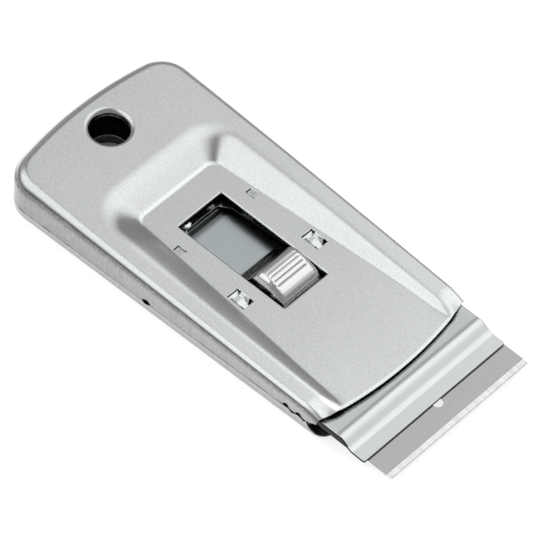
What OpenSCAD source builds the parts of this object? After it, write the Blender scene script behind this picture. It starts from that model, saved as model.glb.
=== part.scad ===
// Pocket scraper for ceramic hobs: two pressed steel shells with a blade slide between them.
// The origin is the hang hole's axis on the resting plane, +X runs to the blade, +Z is up.

/* [Blade] */
// Length of the cutting edge
blade_w = 40; // [30:0.5:60]
// Depth of the blade from its back to its cutting edge
blade_depth = 18; // [16:0.5:22]
// Thickness of the blade
blade_t = 0.25; // [0.2:0.05:0.4]
// Depth of the ground bevel behind the cutting edge
bevel_depth = 1.1; // [0.6:0.1:2]
// Diameter of the plain hole in the middle of the blade
blade_hole_d = 3; // [2:0.1:4]
// Distance from the cutting edge to that hole's centre
blade_hole_back = 6.05; // [5:0.05:8]
// How far the blade stands out of its clamp
blade_out = 6.2; // [4:0.1:7]

/* [Body shells] */
// Thickness of the pressed sheet
sheet = 0.5; // [0.4:0.05:0.8]
// Length of the panel in front of the window
front_land = 25.9; // [24:0.1:40]
// Distance from the hang hole back to the rear end
body_back = 9.7; // [9:0.1:16]
// How much wider the body is at the hang hole than at the front
body_flare = 3.7; // [0:0.1:10]
// Rise of the rim above the recessed panel at the front edge
rim_lift_front = 0.2; // [0.1:0.05:2]
// Rise of the rim above the recessed panel at the hang hole
rim_lift_rear = 3.95; // [3:0.05:8]
// Radius of the rounded rim
rim_r = 1.3; // [0.9:0.1:2]
// Radius of the round edge under the base
base_edge_r = 0.8; // [0.6:0.1:1.2]
// Radius of the rear corners, seen from above
corner_r = 7.5; // [5:0.5:12]
// Radius of the curved rear end, seen from above
rear_arc_r = 88; // [60:1:200]
// Radius of the curved front edge, seen from above
front_arc_r = 92; // [70:1:200]
// Height of the seam between the shells at the rear
seam_rear = 2.4; // [2:0.1:3]
// Height of the seam between the shells at the front
seam_front = 3.1; // [2:0.1:3.5]

/* [Recessed panel] */
// Length of the panel behind the window
rear_land = 7; // [5:0.1:9]
// Width of the panel at its rear end
panel_w_rear = 22.6; // [20:0.1:26]
// Width of the panel at the front edge
panel_w_front = 31.4; // [27:0.1:33]
// Width across the tops of the two side ramps
ramp_w = 34.6; // [33:0.1:37]
// Length of the rear ramp, seen from above
ramp_len = 5.9; // [3:0.1:8]
// Radius of the panel's rear corners
panel_corner_r = 2.5; // [1:0.1:5]
// Radius of the ramp's top rear corners
ramp_corner_r = 7; // [4:0.5:9]

/* [Hang hole] */
// Diameter of the hang hole
hole_d = 8.2; // [6:0.1:9]
// Width of the turned-in lip around the hole
lip_w = 0.8; // [0.5:0.1:1.5]
// How deep the lip is turned in
lip_depth = 1.3; // [0.9:0.1:2.5]

/* [Window and button] */
// Width of the window
window_w = 12.4; // [10:0.1:16]
// Travel of the blade slide
travel = 18.4; // [16:0.2:24]
// Length of the button where it passes through the window
button_len = 10; // [9:0.1:14]
// How far the button stands above the recessed panel
button_rise = 2.5; // [1.5:0.1:4]
// Clearance between the button and the window's ends
end_gap = 0.25; // [0.2:0.05:0.5]
// Clearance between the button and the window's sides
side_gap = 0.3; // [0.2:0.05:0.5]
// Number of grip grooves across the button
groove_count = 4; // [2:1:6]
// Distance between the grip grooves
groove_pitch = 1.1; // [0.8:0.05:1.6]
// Radius of each grip groove
groove_r = 0.22; // [0.1:0.02:0.3]

/* [Slide] */
// Thickness of the carrier plate
carrier_t = 0.5; // [0.4:0.05:0.8]
// Depth of the carrier's turned-down side flanges
flange_h = 2.2; // [2:0.1:3]
// Clearance between the blade's ends and the flanges
blade_gap = 0.1; // [0.05:0.05:0.3]
// Clearance between the flanges and the body's side walls
carrier_gap = 0.45; // [0.3:0.05:0.8]
// Space between the carrier and the underside of the panel
headroom = 1.8; // [1.5:0.1:3]
// Height of the two runner ribs pressed up from the base
runner_h = 0.9; // [0.5:0.1:1.2]
// Clearance between the flanges and the runner ribs
runner_gap = 0.1; // [0.05:0.05:0.2]
// How far the clamp stands out of the body
clamp_out = 8.9; // [8:0.1:12]
// Width of the carrier's rear margin, where the lever is riveted
margin = 3.2; // [3.2:0.1:5]
// Distance from the body's front edge to the start of the carrier's step
step_start = 1.4; // [1:0.1:2]
// Length of the carrier's step
step_len = 4.3; // [3:0.1:5]
// Thickness of the spring clamp plate under the blade
clamp_t = 0.5; // [0.3:0.05:0.6]
// Clearance between the clamp plate and the base
nose_gap = 0.55; // [0.5:0.05:1]

/* [Lock lever] */
// Thickness of the lever's spring steel
lever_t = 0.4; // [0.3:0.05:0.5]
// How far the lever's floor lies below the carrier
lever_drop = 0.95; // [0.8:0.05:1.1]
// Length of the lever's two catch ears
ear_len = 1.6; // [1:0.1:2.5]

/* [Rivets and studs] */
// Diameter of the rivet shanks
rivet_d = 1.5; // [1:0.1:2]
// Diameter of the rivet heads
rivet_head_d = 2.6; // [2:0.1:3]
// Height of the rivet heads
rivet_head_h = 0.4; // [0.3:0.05:0.6]
// Clearance around shanks and under heads, where a spring leaf may tilt
rivet_play = 0.15; // [0.1:0.05:0.2]
// Diameter of the two studs that locate the blade
stud_d = 2.4; // [1.5:0.1:3]
// Distance between the two studs
stud_pitch = 25; // [16:0.5:27]

/* [Hidden] */

// Roundness of cylinders, and points in each arc of an outline
$fn = 48;
arc_steps = 8;
rim_steps = 4;
eps = 0.01;

// Heights, stacked up from the base
carrier_top = sheet + runner_h + runner_gap + flange_h;
carrier_under = carrier_top - carrier_t;
panel_top = carrier_top + headroom + sheet;
clamp_top = sheet + nose_gap + clamp_t;
blade_top = clamp_top + blade_t;
nose_top = blade_top + carrier_t;
lever_top = carrier_under - lever_drop;
lever_under = lever_top - lever_t;

// Widths, outwards from the blade
carrier_w = blade_w + 2 * (blade_gap + carrier_t);
body_w_front = carrier_w + 2 * (carrier_gap + sheet);
body_w_hole = body_w_front + body_flare;

// Places along the length, forwards from the hang hole
hole_gap = 0.3;
opening_set_back = 0.6;
carrier_back = hole_d / 2 + hole_gap + travel;
opening_back = carrier_back + margin;
window_back = opening_back - opening_set_back;
window_len = button_len + travel + 2 * end_gap;
window_front = window_back + window_len;
body_front = window_front + front_land;
panel_back = window_back - rear_land;
button_front = window_front - end_gap;
button_back = button_front - button_len;
clamp_front = body_front + clamp_out;
blade_edge = clamp_front + blade_out;
blade_back = blade_edge - blade_depth;
blade_hole_x = blade_edge - blade_hole_back;

// The rim and the seam are planes that slope along the length
rim_slope = (rim_lift_rear - rim_lift_front) / body_front;
seam_slope = (seam_rear - seam_front) / body_front;
seam_gap = 0.1;
ramp_past = 0.3;
skin = 0.02;
rim_hole = panel_top + rim_lift_rear;

// Plan outline of the body
side_slope = body_flare / 2 / body_front;
side_angle = atan(side_slope);
outline_end = body_front + 6;
recess_end = body_front + 1;

// Pressed tabs in the panel
tab_rear_back = 3.3;
tab_rear_len = 2.6;
tab_rear_w = 2;
tab_rear_drop = 0.6;
tab_front_back = 19;
tab_front_len = 4.5;
tab_front_w = 2.9;
tab_front_drop = 0.6;
tab_free = 1.15;
tab_pitch = 21.5;
tab_gap = 0.4;
tab_cut = 0.25;
nose_z = carrier_top + tab_gap;

// Crimp tongues that hold the shells together
tongue_places = [5, window_back + 7, body_front - 9.4];
tongue_w = 3;
tongue_down = 1.3;
tongue_up = 1.2;
tongue_t = carrier_gap - 2 * seam_gap;

// Carrier
opening_front = button_front + 1.1;
opening_w_back = 8.8;
opening_w = window_w + 2.2;
opening_taper = 2.4;
flange_front = body_front + step_start + 1.9;
corner_cut = 1;

// Base
runner_w = 1.2;
runner_back = 8;
runner_front = body_front - 6.2;
runner_side_gap = 0.15;
base_set_back = 1.2;
base_corner_r = 4.5;
mouth_cut_r = 3.2;
mouth_cut_back = 5.2;

// Lever
lever_back = carrier_back + 0.2;
lever_root = opening_back + 0.2;
lever_bend = 1.2;
lever_front = button_front + 2;
lever_w = tab_pitch + lever_t;
ear_back = window_back + tab_front_back + tab_front_len + 0.2;
ear_gap = 0.1;
ear_slot_gap = 0.3;
leaf_gap = 0.05;
lever_rivet_x = opening_back - 1.5;
lever_rivet_pitch = 6.8;

// Button
button_wall = 0.45;
button_foot = 0.7;
button_top_w = 8.8;
button_foot_w = window_w - 2 * side_gap;
button_lean = 1.1;
crest_back = 7.05;
crest_x = button_front - crest_back;
crest_rear_r = 3.1;
crest_front_r = 8.3;
side_r = 1.5;
groove_start = 0.4;

// Clamp plate
clamp_w = carrier_w - carrier_t - runner_w - 2 * runner_side_gap;
clamp_root_len = 6;
clamp_bend = 3.6;
clamp_flat_back = blade_back - 1.4;
clamp_bend_back = clamp_flat_back - clamp_bend;
clamp_back = clamp_bend_back - clamp_root_len;
clamp_rivet_x = clamp_back + 3;
clamp_rivet_pitch = 30;
clamp_set_back = 0.3;
stud_back = 12.3;
stud_x = blade_edge - stud_back;
stud_rise = 0.2;

// Points of a round arc, from angle a0 to angle a1, without its last point
function arc(cx, cy, r, a0, a1) =
    [for (i = [0:arc_steps - 1]) let(a = a0 + (a1 - a0) * i / arc_steps) [cx + r * cos(a), cy + r * sin(a)]];

// An outline's left half and the same points mirrored to the right, with any rear points between them
function both_sides(half, rear = []) =
    concat(half, rear, [for (i = [len(half) - 1:-1:0]) [half[i][0], -half[i][1]]]);

// Centre of a corner circle of radius r that meets the side line and, from inside, an end circle
function corner_centre(r, end_x, end_r, way) =
    let(w = body_w_hole / 2 - r / cos(side_angle),
        k = end_r - r,
        s = 1 + side_slope * side_slope,
        b = end_x + w * side_slope,
        x = (b + way * sqrt(b * b - s * (end_x * end_x + w * w - k * k))) / s)
    [x, w - x * side_slope];

// Left half of the body's rear end, drawn in by inset, without the point on the middle line
function rear_half(inset) =
    let(x0 = rear_arc_r - body_back,
        c = corner_centre(corner_r, x0, rear_arc_r, -1),
        meet = 180 - atan2(c[1], x0 - c[0]))
    concat(
        arc(c[0], c[1], corner_r - inset, 90 - side_angle, meet),
        arc(x0, 0, rear_arc_r - inset, meet, 180));

// Body outline seen from above, drawn in by inset, with its front left long
function body_outline(inset) =
    let(w = body_w_hole / 2 - side_slope * outline_end - inset / cos(side_angle))
    both_sides(concat([[outline_end, w]], rear_half(inset)), [[inset - body_back, 0]]);

// Base outline seen from above, drawn in by inset, with a curved front and round front corners
function base_outline(inset) =
    let(x1 = body_front - base_set_back - front_arc_r,
        c = corner_centre(base_corner_r, x1, front_arc_r, 1),
        side = 90 - side_angle,
        meet = atan2(c[1], c[0] - x1),
        first = meet / arc_steps / 2,
        r = base_corner_r - inset)
    both_sides(concat(
        arc(x1, 0, front_arc_r - inset, first, meet),
        arc(c[0], c[1], r, meet, side),
        [[c[0] + r * cos(side), c[1] + r * sin(side)]],
        rear_half(inset)), [[inset - body_back, 0]]);

// Outline of the recess at one height: straight sides, round rear corners, long front
function recess_outline(back, w_back, w_front, r) =
    let(a = atan((w_front - w_back) / 2 / (recess_end - back)))
    both_sides(concat(
        [[recess_end, w_front / 2]],
        arc(back + r, w_back / 2 - r, r, 90 + a, 180),
        [[back, w_back / 2 - r]]));

// An outline laid on a plane that falls by slope along the length
function ring(points, z0, slope) = [for (p = points) [p[0], p[1], z0 - slope * p[0]]];

// Smooth step in a strip's height between two places
function step_line(x0, x1, z0, z1) =
    [for (i = [0:arc_steps]) let(u = i / arc_steps)
        [x0 + (x1 - x0) * u, z0 + (z1 - z0) * (1 - cos(180 * u)) / 2]];

// Closed section of a strip of thickness t hung under a line
function strip(line, t) = concat(line, [for (i = [len(line) - 1:-1:0]) [line[i][0], line[i][1] - t]]);

// Closed solid through a stack of rings with equal counts of points, lowest ring first
module loft(rings) {
    n = len(rings[0]);
    m = len(rings);
    polyhedron(
        points = [for (r = rings) each r],
        faces = concat(
            [[for (i = [0:n - 1]) i]],
            [[for (i = [n - 1:-1:0]) (m - 1) * n + i]],
            [for (k = [0:m - 2], i = [0:n - 1]) let(j = (i + 1) % n) [k * n + i, (k + 1) * n + i, k * n + j]],
            [for (k = [0:m - 2], i = [0:n - 1]) let(j = (i + 1) % n)
                [k * n + j, (k + 1) * n + i, (k + 1) * n + j]]));
}

// Extrudes a section drawn in length and height across the width w
module across(points, w) {
    translate([0, w / 2, 0])
        rotate([90, 0, 0])
            linear_extrude(height = w)
                polygon(points);
}

// Solid under the rim, drawn in by inset, from the seam down by drop
module cover_block(inset, drop) {
    r = rim_r - inset;
    loft(concat(
        [ring(body_outline(inset), seam_rear + seam_gap / 2 - drop, seam_slope)],
        [for (i = [0:rim_steps]) let(a = 90 * i / rim_steps)
            ring(body_outline(inset + r * (1 - cos(a))), rim_hole - rim_r + r * sin(a), rim_slope)]));
}

// Solid that presses the panel down out of the rim, carried on past the rim by a share of the ramp
module recess_tool() {
    foot = ring(recess_outline(panel_back, panel_w_rear, panel_w_front, panel_corner_r), panel_top, 0);
    rim = ring(recess_outline(panel_back - ramp_len, ramp_w, ramp_w, ramp_corner_r), rim_hole, rim_slope);
    loft([foot, [for (i = [0:len(foot) - 1]) rim[i] + (rim[i] - foot[i]) * ramp_past]]);
}

// Everything behind the curved front edge
module behind_front() {
    translate([body_front - front_arc_r, 0, -eps])
        cylinder(r = front_arc_r, h = rim_hole + 5);
}

module window_cut() {
    translate([window_back, -window_w / 2, carrier_top])
        cube([window_len, window_w, rim_hole]);
}

// Places its children at the left and right tab of a pair
module tab_pair() {
    for (side = [-1, 1])
        translate([window_back, side * tab_pitch / 2, 0])
            children();
}

module tab_cuts() {
    tab_pair() {
        translate([tab_rear_back, -tab_rear_w / 2, carrier_top])
            cube([tab_rear_len, tab_rear_w, headroom + sheet + eps]);
        translate([tab_front_back, -tab_front_w / 2, carrier_top])
            cube([tab_front_len, tab_front_w, headroom + sheet + eps]);
    }
}

// Rear tabs dip towards their free rear end, front tabs towards the free nose at their front end
module tab_tongues() {
    root = panel_top - skin;
    rear_front = tab_rear_back + tab_rear_len;
    front_front = tab_front_back + tab_front_len;
    floor_z = panel_top - tab_front_drop;
    rear_line = [
        [tab_rear_back + tab_cut, panel_top - tab_rear_drop],
        [rear_front, root],
        [rear_front + tab_cut, root]];
    front_line = [
        [tab_front_back + tab_cut, panel_top - tab_front_drop / 2],
        [tab_front_back + tab_free, floor_z],
        [tab_front_back + tab_front_len / 2, floor_z],
        [front_front - tab_cut, nose_z + sheet]];
    side = tab_front_w / 2;
    tab_pair() {
        across(strip(rear_line, sheet - 2 * skin), tab_rear_w - 2 * tab_cut);
        across(strip(front_line, sheet), tab_front_w - 2 * tab_cut);
        // Sloping sides that join the front tab's middle to the panel
        for (way = [0, 1])
            mirror([0, way, 0])
                translate([tab_front_back + tab_free, 0, 0])
                    rotate([90, 0, 90])
                        linear_extrude(height = tab_front_len - 2 * tab_free)
                            polygon([
                                [side + skin, panel_top - skin],
                                [side + skin, panel_top - sheet + skin],
                                [side - 2 * tab_cut, floor_z - sheet + skin],
                                [side - 2 * tab_cut, floor_z - skin]]);
    }
}

// Crimp tongues inside the side walls, which bridge the seam
module crimp_tongues() {
    for (x = tongue_places, side = [0, 1]) {
        wall_in = body_w_hole / 2 - side_slope * x - sheet;
        seam = seam_rear - seam_slope * x;
        face = wall_in - seam_gap;
        inner = face - tongue_t;
        mirror([0, side, 0])
            translate([x - tongue_w / 2, 0, 0])
                rotate([90, 0, 90])
                    linear_extrude(height = tongue_w)
                        polygon([
                            [inner, seam - tongue_down],
                            [face, seam - tongue_down],
                            [face, seam + tongue_up / 2],
                            [wall_in + sheet / 2, seam + tongue_up / 2],
                            [wall_in + sheet / 2, seam + tongue_up],
                            [inner, seam + tongue_up]]);
    }
}

module top_cover() {
    hole_r = hole_d / 2;
    color([0.77, 0.77, 0.76])
    difference() {
        union() {
            intersection() {
                difference() {
                    cover_block(0, 0);
                    recess_tool();
                    difference() {
                        cover_block(sheet, 1);
                        translate([0, 0, -sheet])
                            recess_tool();
                    }
                    window_cut();
                    tab_cuts();
                }
                behind_front();
            }
            tab_tongues();
            crimp_tongues();
            translate([0, 0, rim_hole - lip_depth])
                cylinder(r = hole_r + lip_w, h = lip_depth - sheet / 2);
        }
        // Turned-in lip, then the bore
        rotate_extrude()
            polygon([
                [0, rim_hole - lip_w / 2],
                [hole_r, rim_hole - lip_w / 2],
                [hole_r + lip_w, rim_hole + lip_w / 4],
                [hole_r + lip_w, rim_hole + lip_w],
                [0, rim_hole + lip_w]]);
        translate([0, 0, -eps])
            cylinder(r = hole_r, h = rim_hole + 1);
    }
}

// Heights of the base's round lower edge, as a share of its radius
function edge_ring(outline_at, inset, floor_z) =
    let(r = base_edge_r - inset)
    [for (i = [0:rim_steps]) let(a = 90 * i / rim_steps)
        ring(outline_at(inset + r * (1 - sin(a))), floor_z + r * (1 - cos(a)), 0)];

// Solid of the base's outer shape up to the seam
module base_solid() {
    loft(concat(
        edge_ring(function(d) base_outline(d), 0, 0),
        [ring(base_outline(0), seam_rear - seam_gap / 2, seam_slope)]));
}

// Space inside the base, open at the front and past the seam
module base_space() {
    loft(concat(
        edge_ring(function(d) body_outline(d), sheet, sheet),
        [ring(body_outline(sheet), seam_rear + 1, seam_slope)]));
}

module runner_line() {
    for (side = [-1, 1])
        translate([runner_back, side * (carrier_w - carrier_t) / 2, 0])
            children();
}

module base_plate() {
    rib_len = runner_front - runner_back;
    mouth = body_front - mouth_cut_back;
    color([0.72, 0.73, 0.73])
    difference() {
        union() {
            difference() {
                base_solid();
                base_space();
            }
            runner_line()
                translate([0, -runner_w / 2, sheet / 2])
                    cube([rib_len, runner_w, sheet / 2 + runner_h]);
        }
        // Pressed hollow under each rib
        runner_line()
            translate([sheet, -(runner_w - sheet) / 2, -eps])
                cube([rib_len - 2 * sheet, runner_w - sheet, runner_h]);
        // Hang hole
        translate([0, 0, -eps])
            cylinder(d = hole_d, h = sheet + 1);
        // Side walls curve down to the floor at the mouth
        across(concat(
            [[mouth, seam_front + 1]],
            [for (i = [0:arc_steps]) let(a = 90 * i / arc_steps)
                [mouth + mouth_cut_r * (1 - cos(a)), sheet + skin + (seam_front - sheet) * (1 - sin(a))]],
            [[outline_end, sheet + skin], [outline_end, seam_front + 1]]), 2 * blade_w);
    }
}

// Opening in the carrier, which the button stands through
module carrier_opening() {
    back = opening_back;
    bend = back + opening_taper;
    translate([0, 0, carrier_under - 1])
        linear_extrude(height = carrier_t + 2)
            polygon(both_sides([
                [opening_front, opening_w / 2],
                [button_back - 2, opening_w / 2],
                [bend, window_w / 2],
                [back, opening_w_back / 2]]));
}

module rivet_places(x, pitch) {
    for (side = [-1, 1])
        translate([x, side * pitch / 2, 0])
            children();
}

module blade_carrier() {
    bend = body_front + step_start;
    line = concat(
        [[carrier_back, carrier_top]],
        step_line(bend, bend + step_len, carrier_top, nose_top),
        [[clamp_front, nose_top]]);
    half = carrier_w / 2;
    color([0.70, 0.72, 0.73])
    difference() {
        union() {
            across(strip(line, carrier_t), carrier_w);
            for (side = [-1, 1])
                translate([carrier_back, side > 0 ? half - carrier_t : -half, carrier_top - flange_h])
                    cube([flange_front - carrier_back, carrier_t, flange_h - carrier_t / 2]);
        }
        // What the flanges leave above the step
        across(concat(
            [[bend, carrier_top + 1]],
            step_line(bend, bend + step_len, carrier_top, nose_top),
            [[bend + step_len, carrier_top + 1]]), carrier_w + 1);
        carrier_opening();
        // Slots for the lever's ears
        slot_w = lever_t + 2 * ear_slot_gap;
        for (side = [-1, 1])
            translate([ear_back - ear_slot_gap, (side * tab_pitch - slot_w) / 2, carrier_under - 1])
                cube([ear_len + 2 * ear_slot_gap, slot_w, carrier_t + 2]);
        rivet_places(lever_rivet_x, lever_rivet_pitch)
            cylinder(d = rivet_d, h = carrier_top + 1);
        rivet_places(clamp_rivet_x, clamp_rivet_pitch)
            cylinder(d = rivet_d, h = carrier_top + 1);
        for (side = [-1, 1])
            translate([clamp_front, side * half, 0])
                rotate([0, 0, 45])
                    cube([corner_cut * sqrt(2), corner_cut * sqrt(2), 4 * nose_top], center = true);
    }
}

module clamp_plate() {
    line = concat(
        [[clamp_back, carrier_under - leaf_gap]],
        step_line(clamp_bend_back, clamp_flat_back, carrier_under - leaf_gap, clamp_top),
        [[clamp_front - clamp_set_back, clamp_top]]);
    color([0.62, 0.64, 0.65])
    difference() {
        across(strip(line, clamp_t), clamp_w);
        rivet_places(clamp_rivet_x, clamp_rivet_pitch)
            cylinder(d = rivet_d + 2 * rivet_play, h = carrier_top);
        rivet_places(stud_x, stud_pitch)
            cylinder(d = stud_d, h = clamp_top + 1);
    }
}

module scraper_blade() {
    section = [
        [blade_back, clamp_top],
        [blade_edge - bevel_depth, clamp_top],
        [blade_edge, clamp_top + blade_t * 0.4],
        [blade_edge, clamp_top + blade_t * 0.6],
        [blade_edge - bevel_depth, blade_top],
        [blade_back, blade_top]];
    color([0.71, 0.71, 0.71])
    difference() {
        across(section, blade_w);
        translate([blade_hole_x, 0, 0])
            cylinder(d = blade_hole_d, h = nose_top);
        rivet_places(stud_x, stud_pitch)
            cylinder(d = stud_d + 2 * rivet_play, h = nose_top);
    }
}

module blade_studs() {
    color([0.66, 0.66, 0.66])
    rivet_places(stud_x, stud_pitch)
        translate([0, 0, clamp_top - clamp_t])
            cylinder(d = stud_d, h = clamp_t + blade_t + stud_rise);
}

// Rivet through the carrier with a low domed head at each end
module rivet(leaf_t) {
    low = carrier_under - leaf_gap - leaf_t - rivet_play;
    r = rivet_head_d / 2;
    rotate_extrude()
        polygon([
            [0, low - rivet_head_h],
            [r * 0.6, low - rivet_head_h],
            [r, low - rivet_head_h / 2],
            [r, low],
            [rivet_d / 2, low],
            [rivet_d / 2, carrier_top],
            [r, carrier_top],
            [r, carrier_top + rivet_head_h / 2],
            [r * 0.6, carrier_top + rivet_head_h],
            [0, carrier_top + rivet_head_h]]);
}

module clamp_rivets() {
    color([0.60, 0.60, 0.60])
    rivet_places(clamp_rivet_x, clamp_rivet_pitch)
        rivet(clamp_t);
}

module lever_rivets() {
    color([0.60, 0.60, 0.60])
    rivet_places(lever_rivet_x, lever_rivet_pitch)
        rivet(lever_t);
}

module lock_lever() {
    line = concat(
        [[lever_back, carrier_under - leaf_gap]],
        step_line(lever_root, lever_root + lever_bend, carrier_under - leaf_gap, lever_top),
        [[lever_front, lever_top]]);
    color([0.67, 0.69, 0.70])
    difference() {
        union() {
            across(strip(line, lever_t), lever_w);
            // Ears turned up through the carrier, in front of the noses of the front tabs
            for (side = [-1, 1])
                translate([ear_back, (side * tab_pitch - lever_t) / 2, lever_under])
                    cube([ear_len, lever_t, nose_z - ear_gap - lever_under]);
        }
        rivet_places(lever_rivet_x, lever_rivet_pitch)
            cylinder(d = rivet_d + 2 * rivet_play, h = carrier_top);
    }
}

// Side view of the button's hump, drawn in by inset
function hump_line(inset) =
    let(top = panel_top + button_rise,
        front = button_front - inset,
        front_a = acos((button_front - crest_x) / crest_front_r),
        foot = lever_top - skin)
    concat(
        [[front, foot]],
        arc(crest_x, top - crest_front_r, crest_front_r - inset, front_a, 90),
        arc(crest_x, top - crest_rear_r, crest_rear_r - inset, 90, 152),
        [[button_back + inset, panel_top - sheet], [button_back - button_lean + inset, foot]]);

// Front view of the button's hump, drawn in by inset
function hump_section(inset) =
    let(top = panel_top + button_rise - inset,
        foot = button_foot_w / 2 - inset,
        r = side_r)
    both_sides(concat(
        [[lever_top - 2 * skin, foot], [panel_top - sheet, foot]],
        [for (p = arc(button_top_w / 2 - inset - r, top - r, r, 15, 90)) [p[1], p[0]]]));

module hump(inset) {
    intersection() {
        across(hump_line(inset), window_w);
        translate([button_back - button_lean - 1, 0, 0])
            rotate([0, -90, 0])
                mirror([0, 0, 1])
                    linear_extrude(height = button_len + 3)
                        polygon(hump_section(inset));
    }
}

module thumb_button() {
    foot_back = button_back - button_lean - button_foot;
    foot_w = button_foot_w + 2 * button_foot;
    color([0.80, 0.80, 0.79])
    difference() {
        union() {
            intersection() {
                hump(0);
                translate([foot_back, -window_w / 2, lever_top])
                    cube([button_len + 5, window_w, panel_top + button_rise]);
            }
            // Foot flange that is welded to the lever
            translate([foot_back, -foot_w / 2, lever_top])
                cube([button_front + button_foot - foot_back, foot_w, button_wall]);
        }
        hump(button_wall);
        // Grip grooves across the crest
        for (i = [0:groove_count - 1]) {
            d = groove_start + i * groove_pitch;
            z = panel_top + button_rise - crest_front_r + sqrt(crest_front_r * crest_front_r - d * d);
            translate([crest_x + d, 0, z])
                rotate([90, 0, 0])
                    cylinder(r = groove_r, h = button_top_w - 1, center = true, $fn = 24);
        }
    }
}

top_cover();
base_plate();
blade_carrier();
clamp_plate();
scraper_blade();
blade_studs();
clamp_rivets();
lock_lever();
lever_rivets();
thumb_button();
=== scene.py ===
"""An all-metal pocket scraper for ceramic hobs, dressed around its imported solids.

Lengths in this file are in millimetres in the part's own frame (origin on the hang hole's axis at
the resting plane, +X to the blade, +Z up) until a mesh is made, which is in metres.
"""

import logging
import math
from collections.abc import Callable, Sequence
from dataclasses import dataclass, field, replace
from enum import Enum

import bpy
import numpy as np
from mathutils import Matrix, Vector
from mathutils.geometry import delaunay_2d_cdt

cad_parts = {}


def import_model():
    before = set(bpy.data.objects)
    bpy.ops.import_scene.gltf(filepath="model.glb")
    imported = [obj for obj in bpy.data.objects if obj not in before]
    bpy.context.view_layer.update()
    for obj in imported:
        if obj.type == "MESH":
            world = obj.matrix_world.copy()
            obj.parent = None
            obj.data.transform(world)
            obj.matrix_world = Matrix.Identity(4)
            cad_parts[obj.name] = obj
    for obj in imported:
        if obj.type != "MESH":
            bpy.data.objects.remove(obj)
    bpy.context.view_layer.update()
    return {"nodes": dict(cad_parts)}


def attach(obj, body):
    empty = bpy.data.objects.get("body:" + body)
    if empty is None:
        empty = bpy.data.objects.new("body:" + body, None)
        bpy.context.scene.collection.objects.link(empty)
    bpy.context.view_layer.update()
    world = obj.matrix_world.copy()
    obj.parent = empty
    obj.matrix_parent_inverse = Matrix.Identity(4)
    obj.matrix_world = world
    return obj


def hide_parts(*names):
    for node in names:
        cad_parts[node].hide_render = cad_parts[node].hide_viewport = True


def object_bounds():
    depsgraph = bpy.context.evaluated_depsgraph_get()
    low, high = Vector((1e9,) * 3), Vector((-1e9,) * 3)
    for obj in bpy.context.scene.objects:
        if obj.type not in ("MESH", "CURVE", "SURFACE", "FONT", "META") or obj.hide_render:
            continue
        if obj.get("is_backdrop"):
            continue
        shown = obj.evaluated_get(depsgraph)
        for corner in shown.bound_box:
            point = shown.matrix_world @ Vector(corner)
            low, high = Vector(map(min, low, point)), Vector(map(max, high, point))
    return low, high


LOG = logging.getLogger("hob_scraper")
Array = np.ndarray
Pair = tuple[float, float]
Table = tuple[tuple[float, ...], ...]
Rule = Callable[[Array], Array]
Socket = bpy.types.NodeSocket
MM = 0.001
WELD_STEPS = 2000
# The mesh attribute of painted highlights and painted shade, as brightness added to the finish.
TONE = "tone"


# ---- sizes


@dataclass(frozen=True)
class Sizes:
    """Sizes that the pieces share."""

    sheet: float = 0.5
    body_front: float = 80.2
    body_back: float = 9.7
    body_half_hole: float = 23.4
    side_slope: float = 1.85 / 80.2
    corner_r: float = 7.5
    rear_arc_r: float = 88.0
    front_arc_r: float = 92.0
    rim_hole: float = 9.95
    rim_slope: float = 3.75 / 80.2
    rim_r_rear: float = 3.2
    rim_r_front: float = 1.4
    rim_r_reach: float = 30.0
    seam_rear: float = 2.0
    seam_slope: float = -0.64 / 80.2
    seam_gap: float = 0.08
    panel_top: float = 6.0
    window_back: float = 25.4
    window_front: float = 54.3
    window_half: float = 6.2
    hole_r: float = 4.1
    carrier_back: float = 22.8
    carrier_top: float = 3.7
    carrier_half: float = 20.6
    nose_top: float = 2.3
    clamp_front: float = 89.1
    clamp_top: float = 1.55
    blade_top: float = 1.8
    blade_edge: float = 95.3
    blade_back: float = 77.3
    lever_top: float = 2.25

    def rim_z(self, x: Array) -> Array:
        """Height of the sloping rim plane at x."""
        return self.rim_hole - self.rim_slope * x

    def rim_r(self, x: Array) -> Array:
        """Radius of the round rim at x, larger at the rear."""
        share = np.exp(-(x + self.body_back) / self.rim_r_reach)
        return self.rim_r_front + (self.rim_r_rear - self.rim_r_front) * share

    def seam_z(self, x: Array) -> Array:
        """Height of the seam plane at x."""
        return self.seam_rear - self.seam_slope * x

    def front_x(self, y: Array) -> Array:
        """Place of the curved front edge at y, a circle about the middle line."""
        return self.body_front - self.front_arc_r + np.sqrt(self.front_arc_r**2 - y**2)


SIZES = Sizes()


# ---- small shape functions


def smooth(t: Array | float) -> Array:
    """Smoothstep of t: 0 below 0, 1 above 1, level at both ends."""
    t = np.clip(t, 0.0, 1.0)
    return t * t * (3.0 - 2.0 * t)


def level(height: float) -> Rule:
    """A rule that gives the same height at every x."""
    return lambda x: np.full_like(x, height)


def unit(v: Array) -> Array:
    """Vectors scaled to length 1, with zero vectors left as they are."""
    length = np.linalg.norm(v, axis=-1, keepdims=True)
    return v / np.where(length < 1e-12, 1.0, length)


def grid_normals(p: Array) -> Array:
    """Normals of a grid of points, from the cross product of its two directions."""
    return unit(np.cross(np.gradient(p, axis=0), np.gradient(p, axis=1)))


def grid_points(x: Array, y: Array, z: Array) -> Array:
    """Points of a grid, from x by row, y at each point, and z by row or at each point."""
    return np.stack([np.broadcast_to(x[:, None], y.shape), y, np.broadcast_to(z, y.shape)], axis=-1)


def mirrored(half: Array) -> Array:
    """A left half that ends on the middle line, after its mirror image on the right."""
    flip = np.where(np.arange(half.shape[-1]) == 1, -1.0, 1.0)
    return np.concatenate([half * flip, half[-2::-1]])


def heading(azimuth: float, elevation: float) -> Vector:
    """The direction at an azimuth and an elevation in degrees."""
    az, el = math.radians(azimuth), math.radians(elevation)
    return Vector((math.cos(el) * math.cos(az), math.cos(el) * math.sin(az), math.sin(el)))


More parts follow.
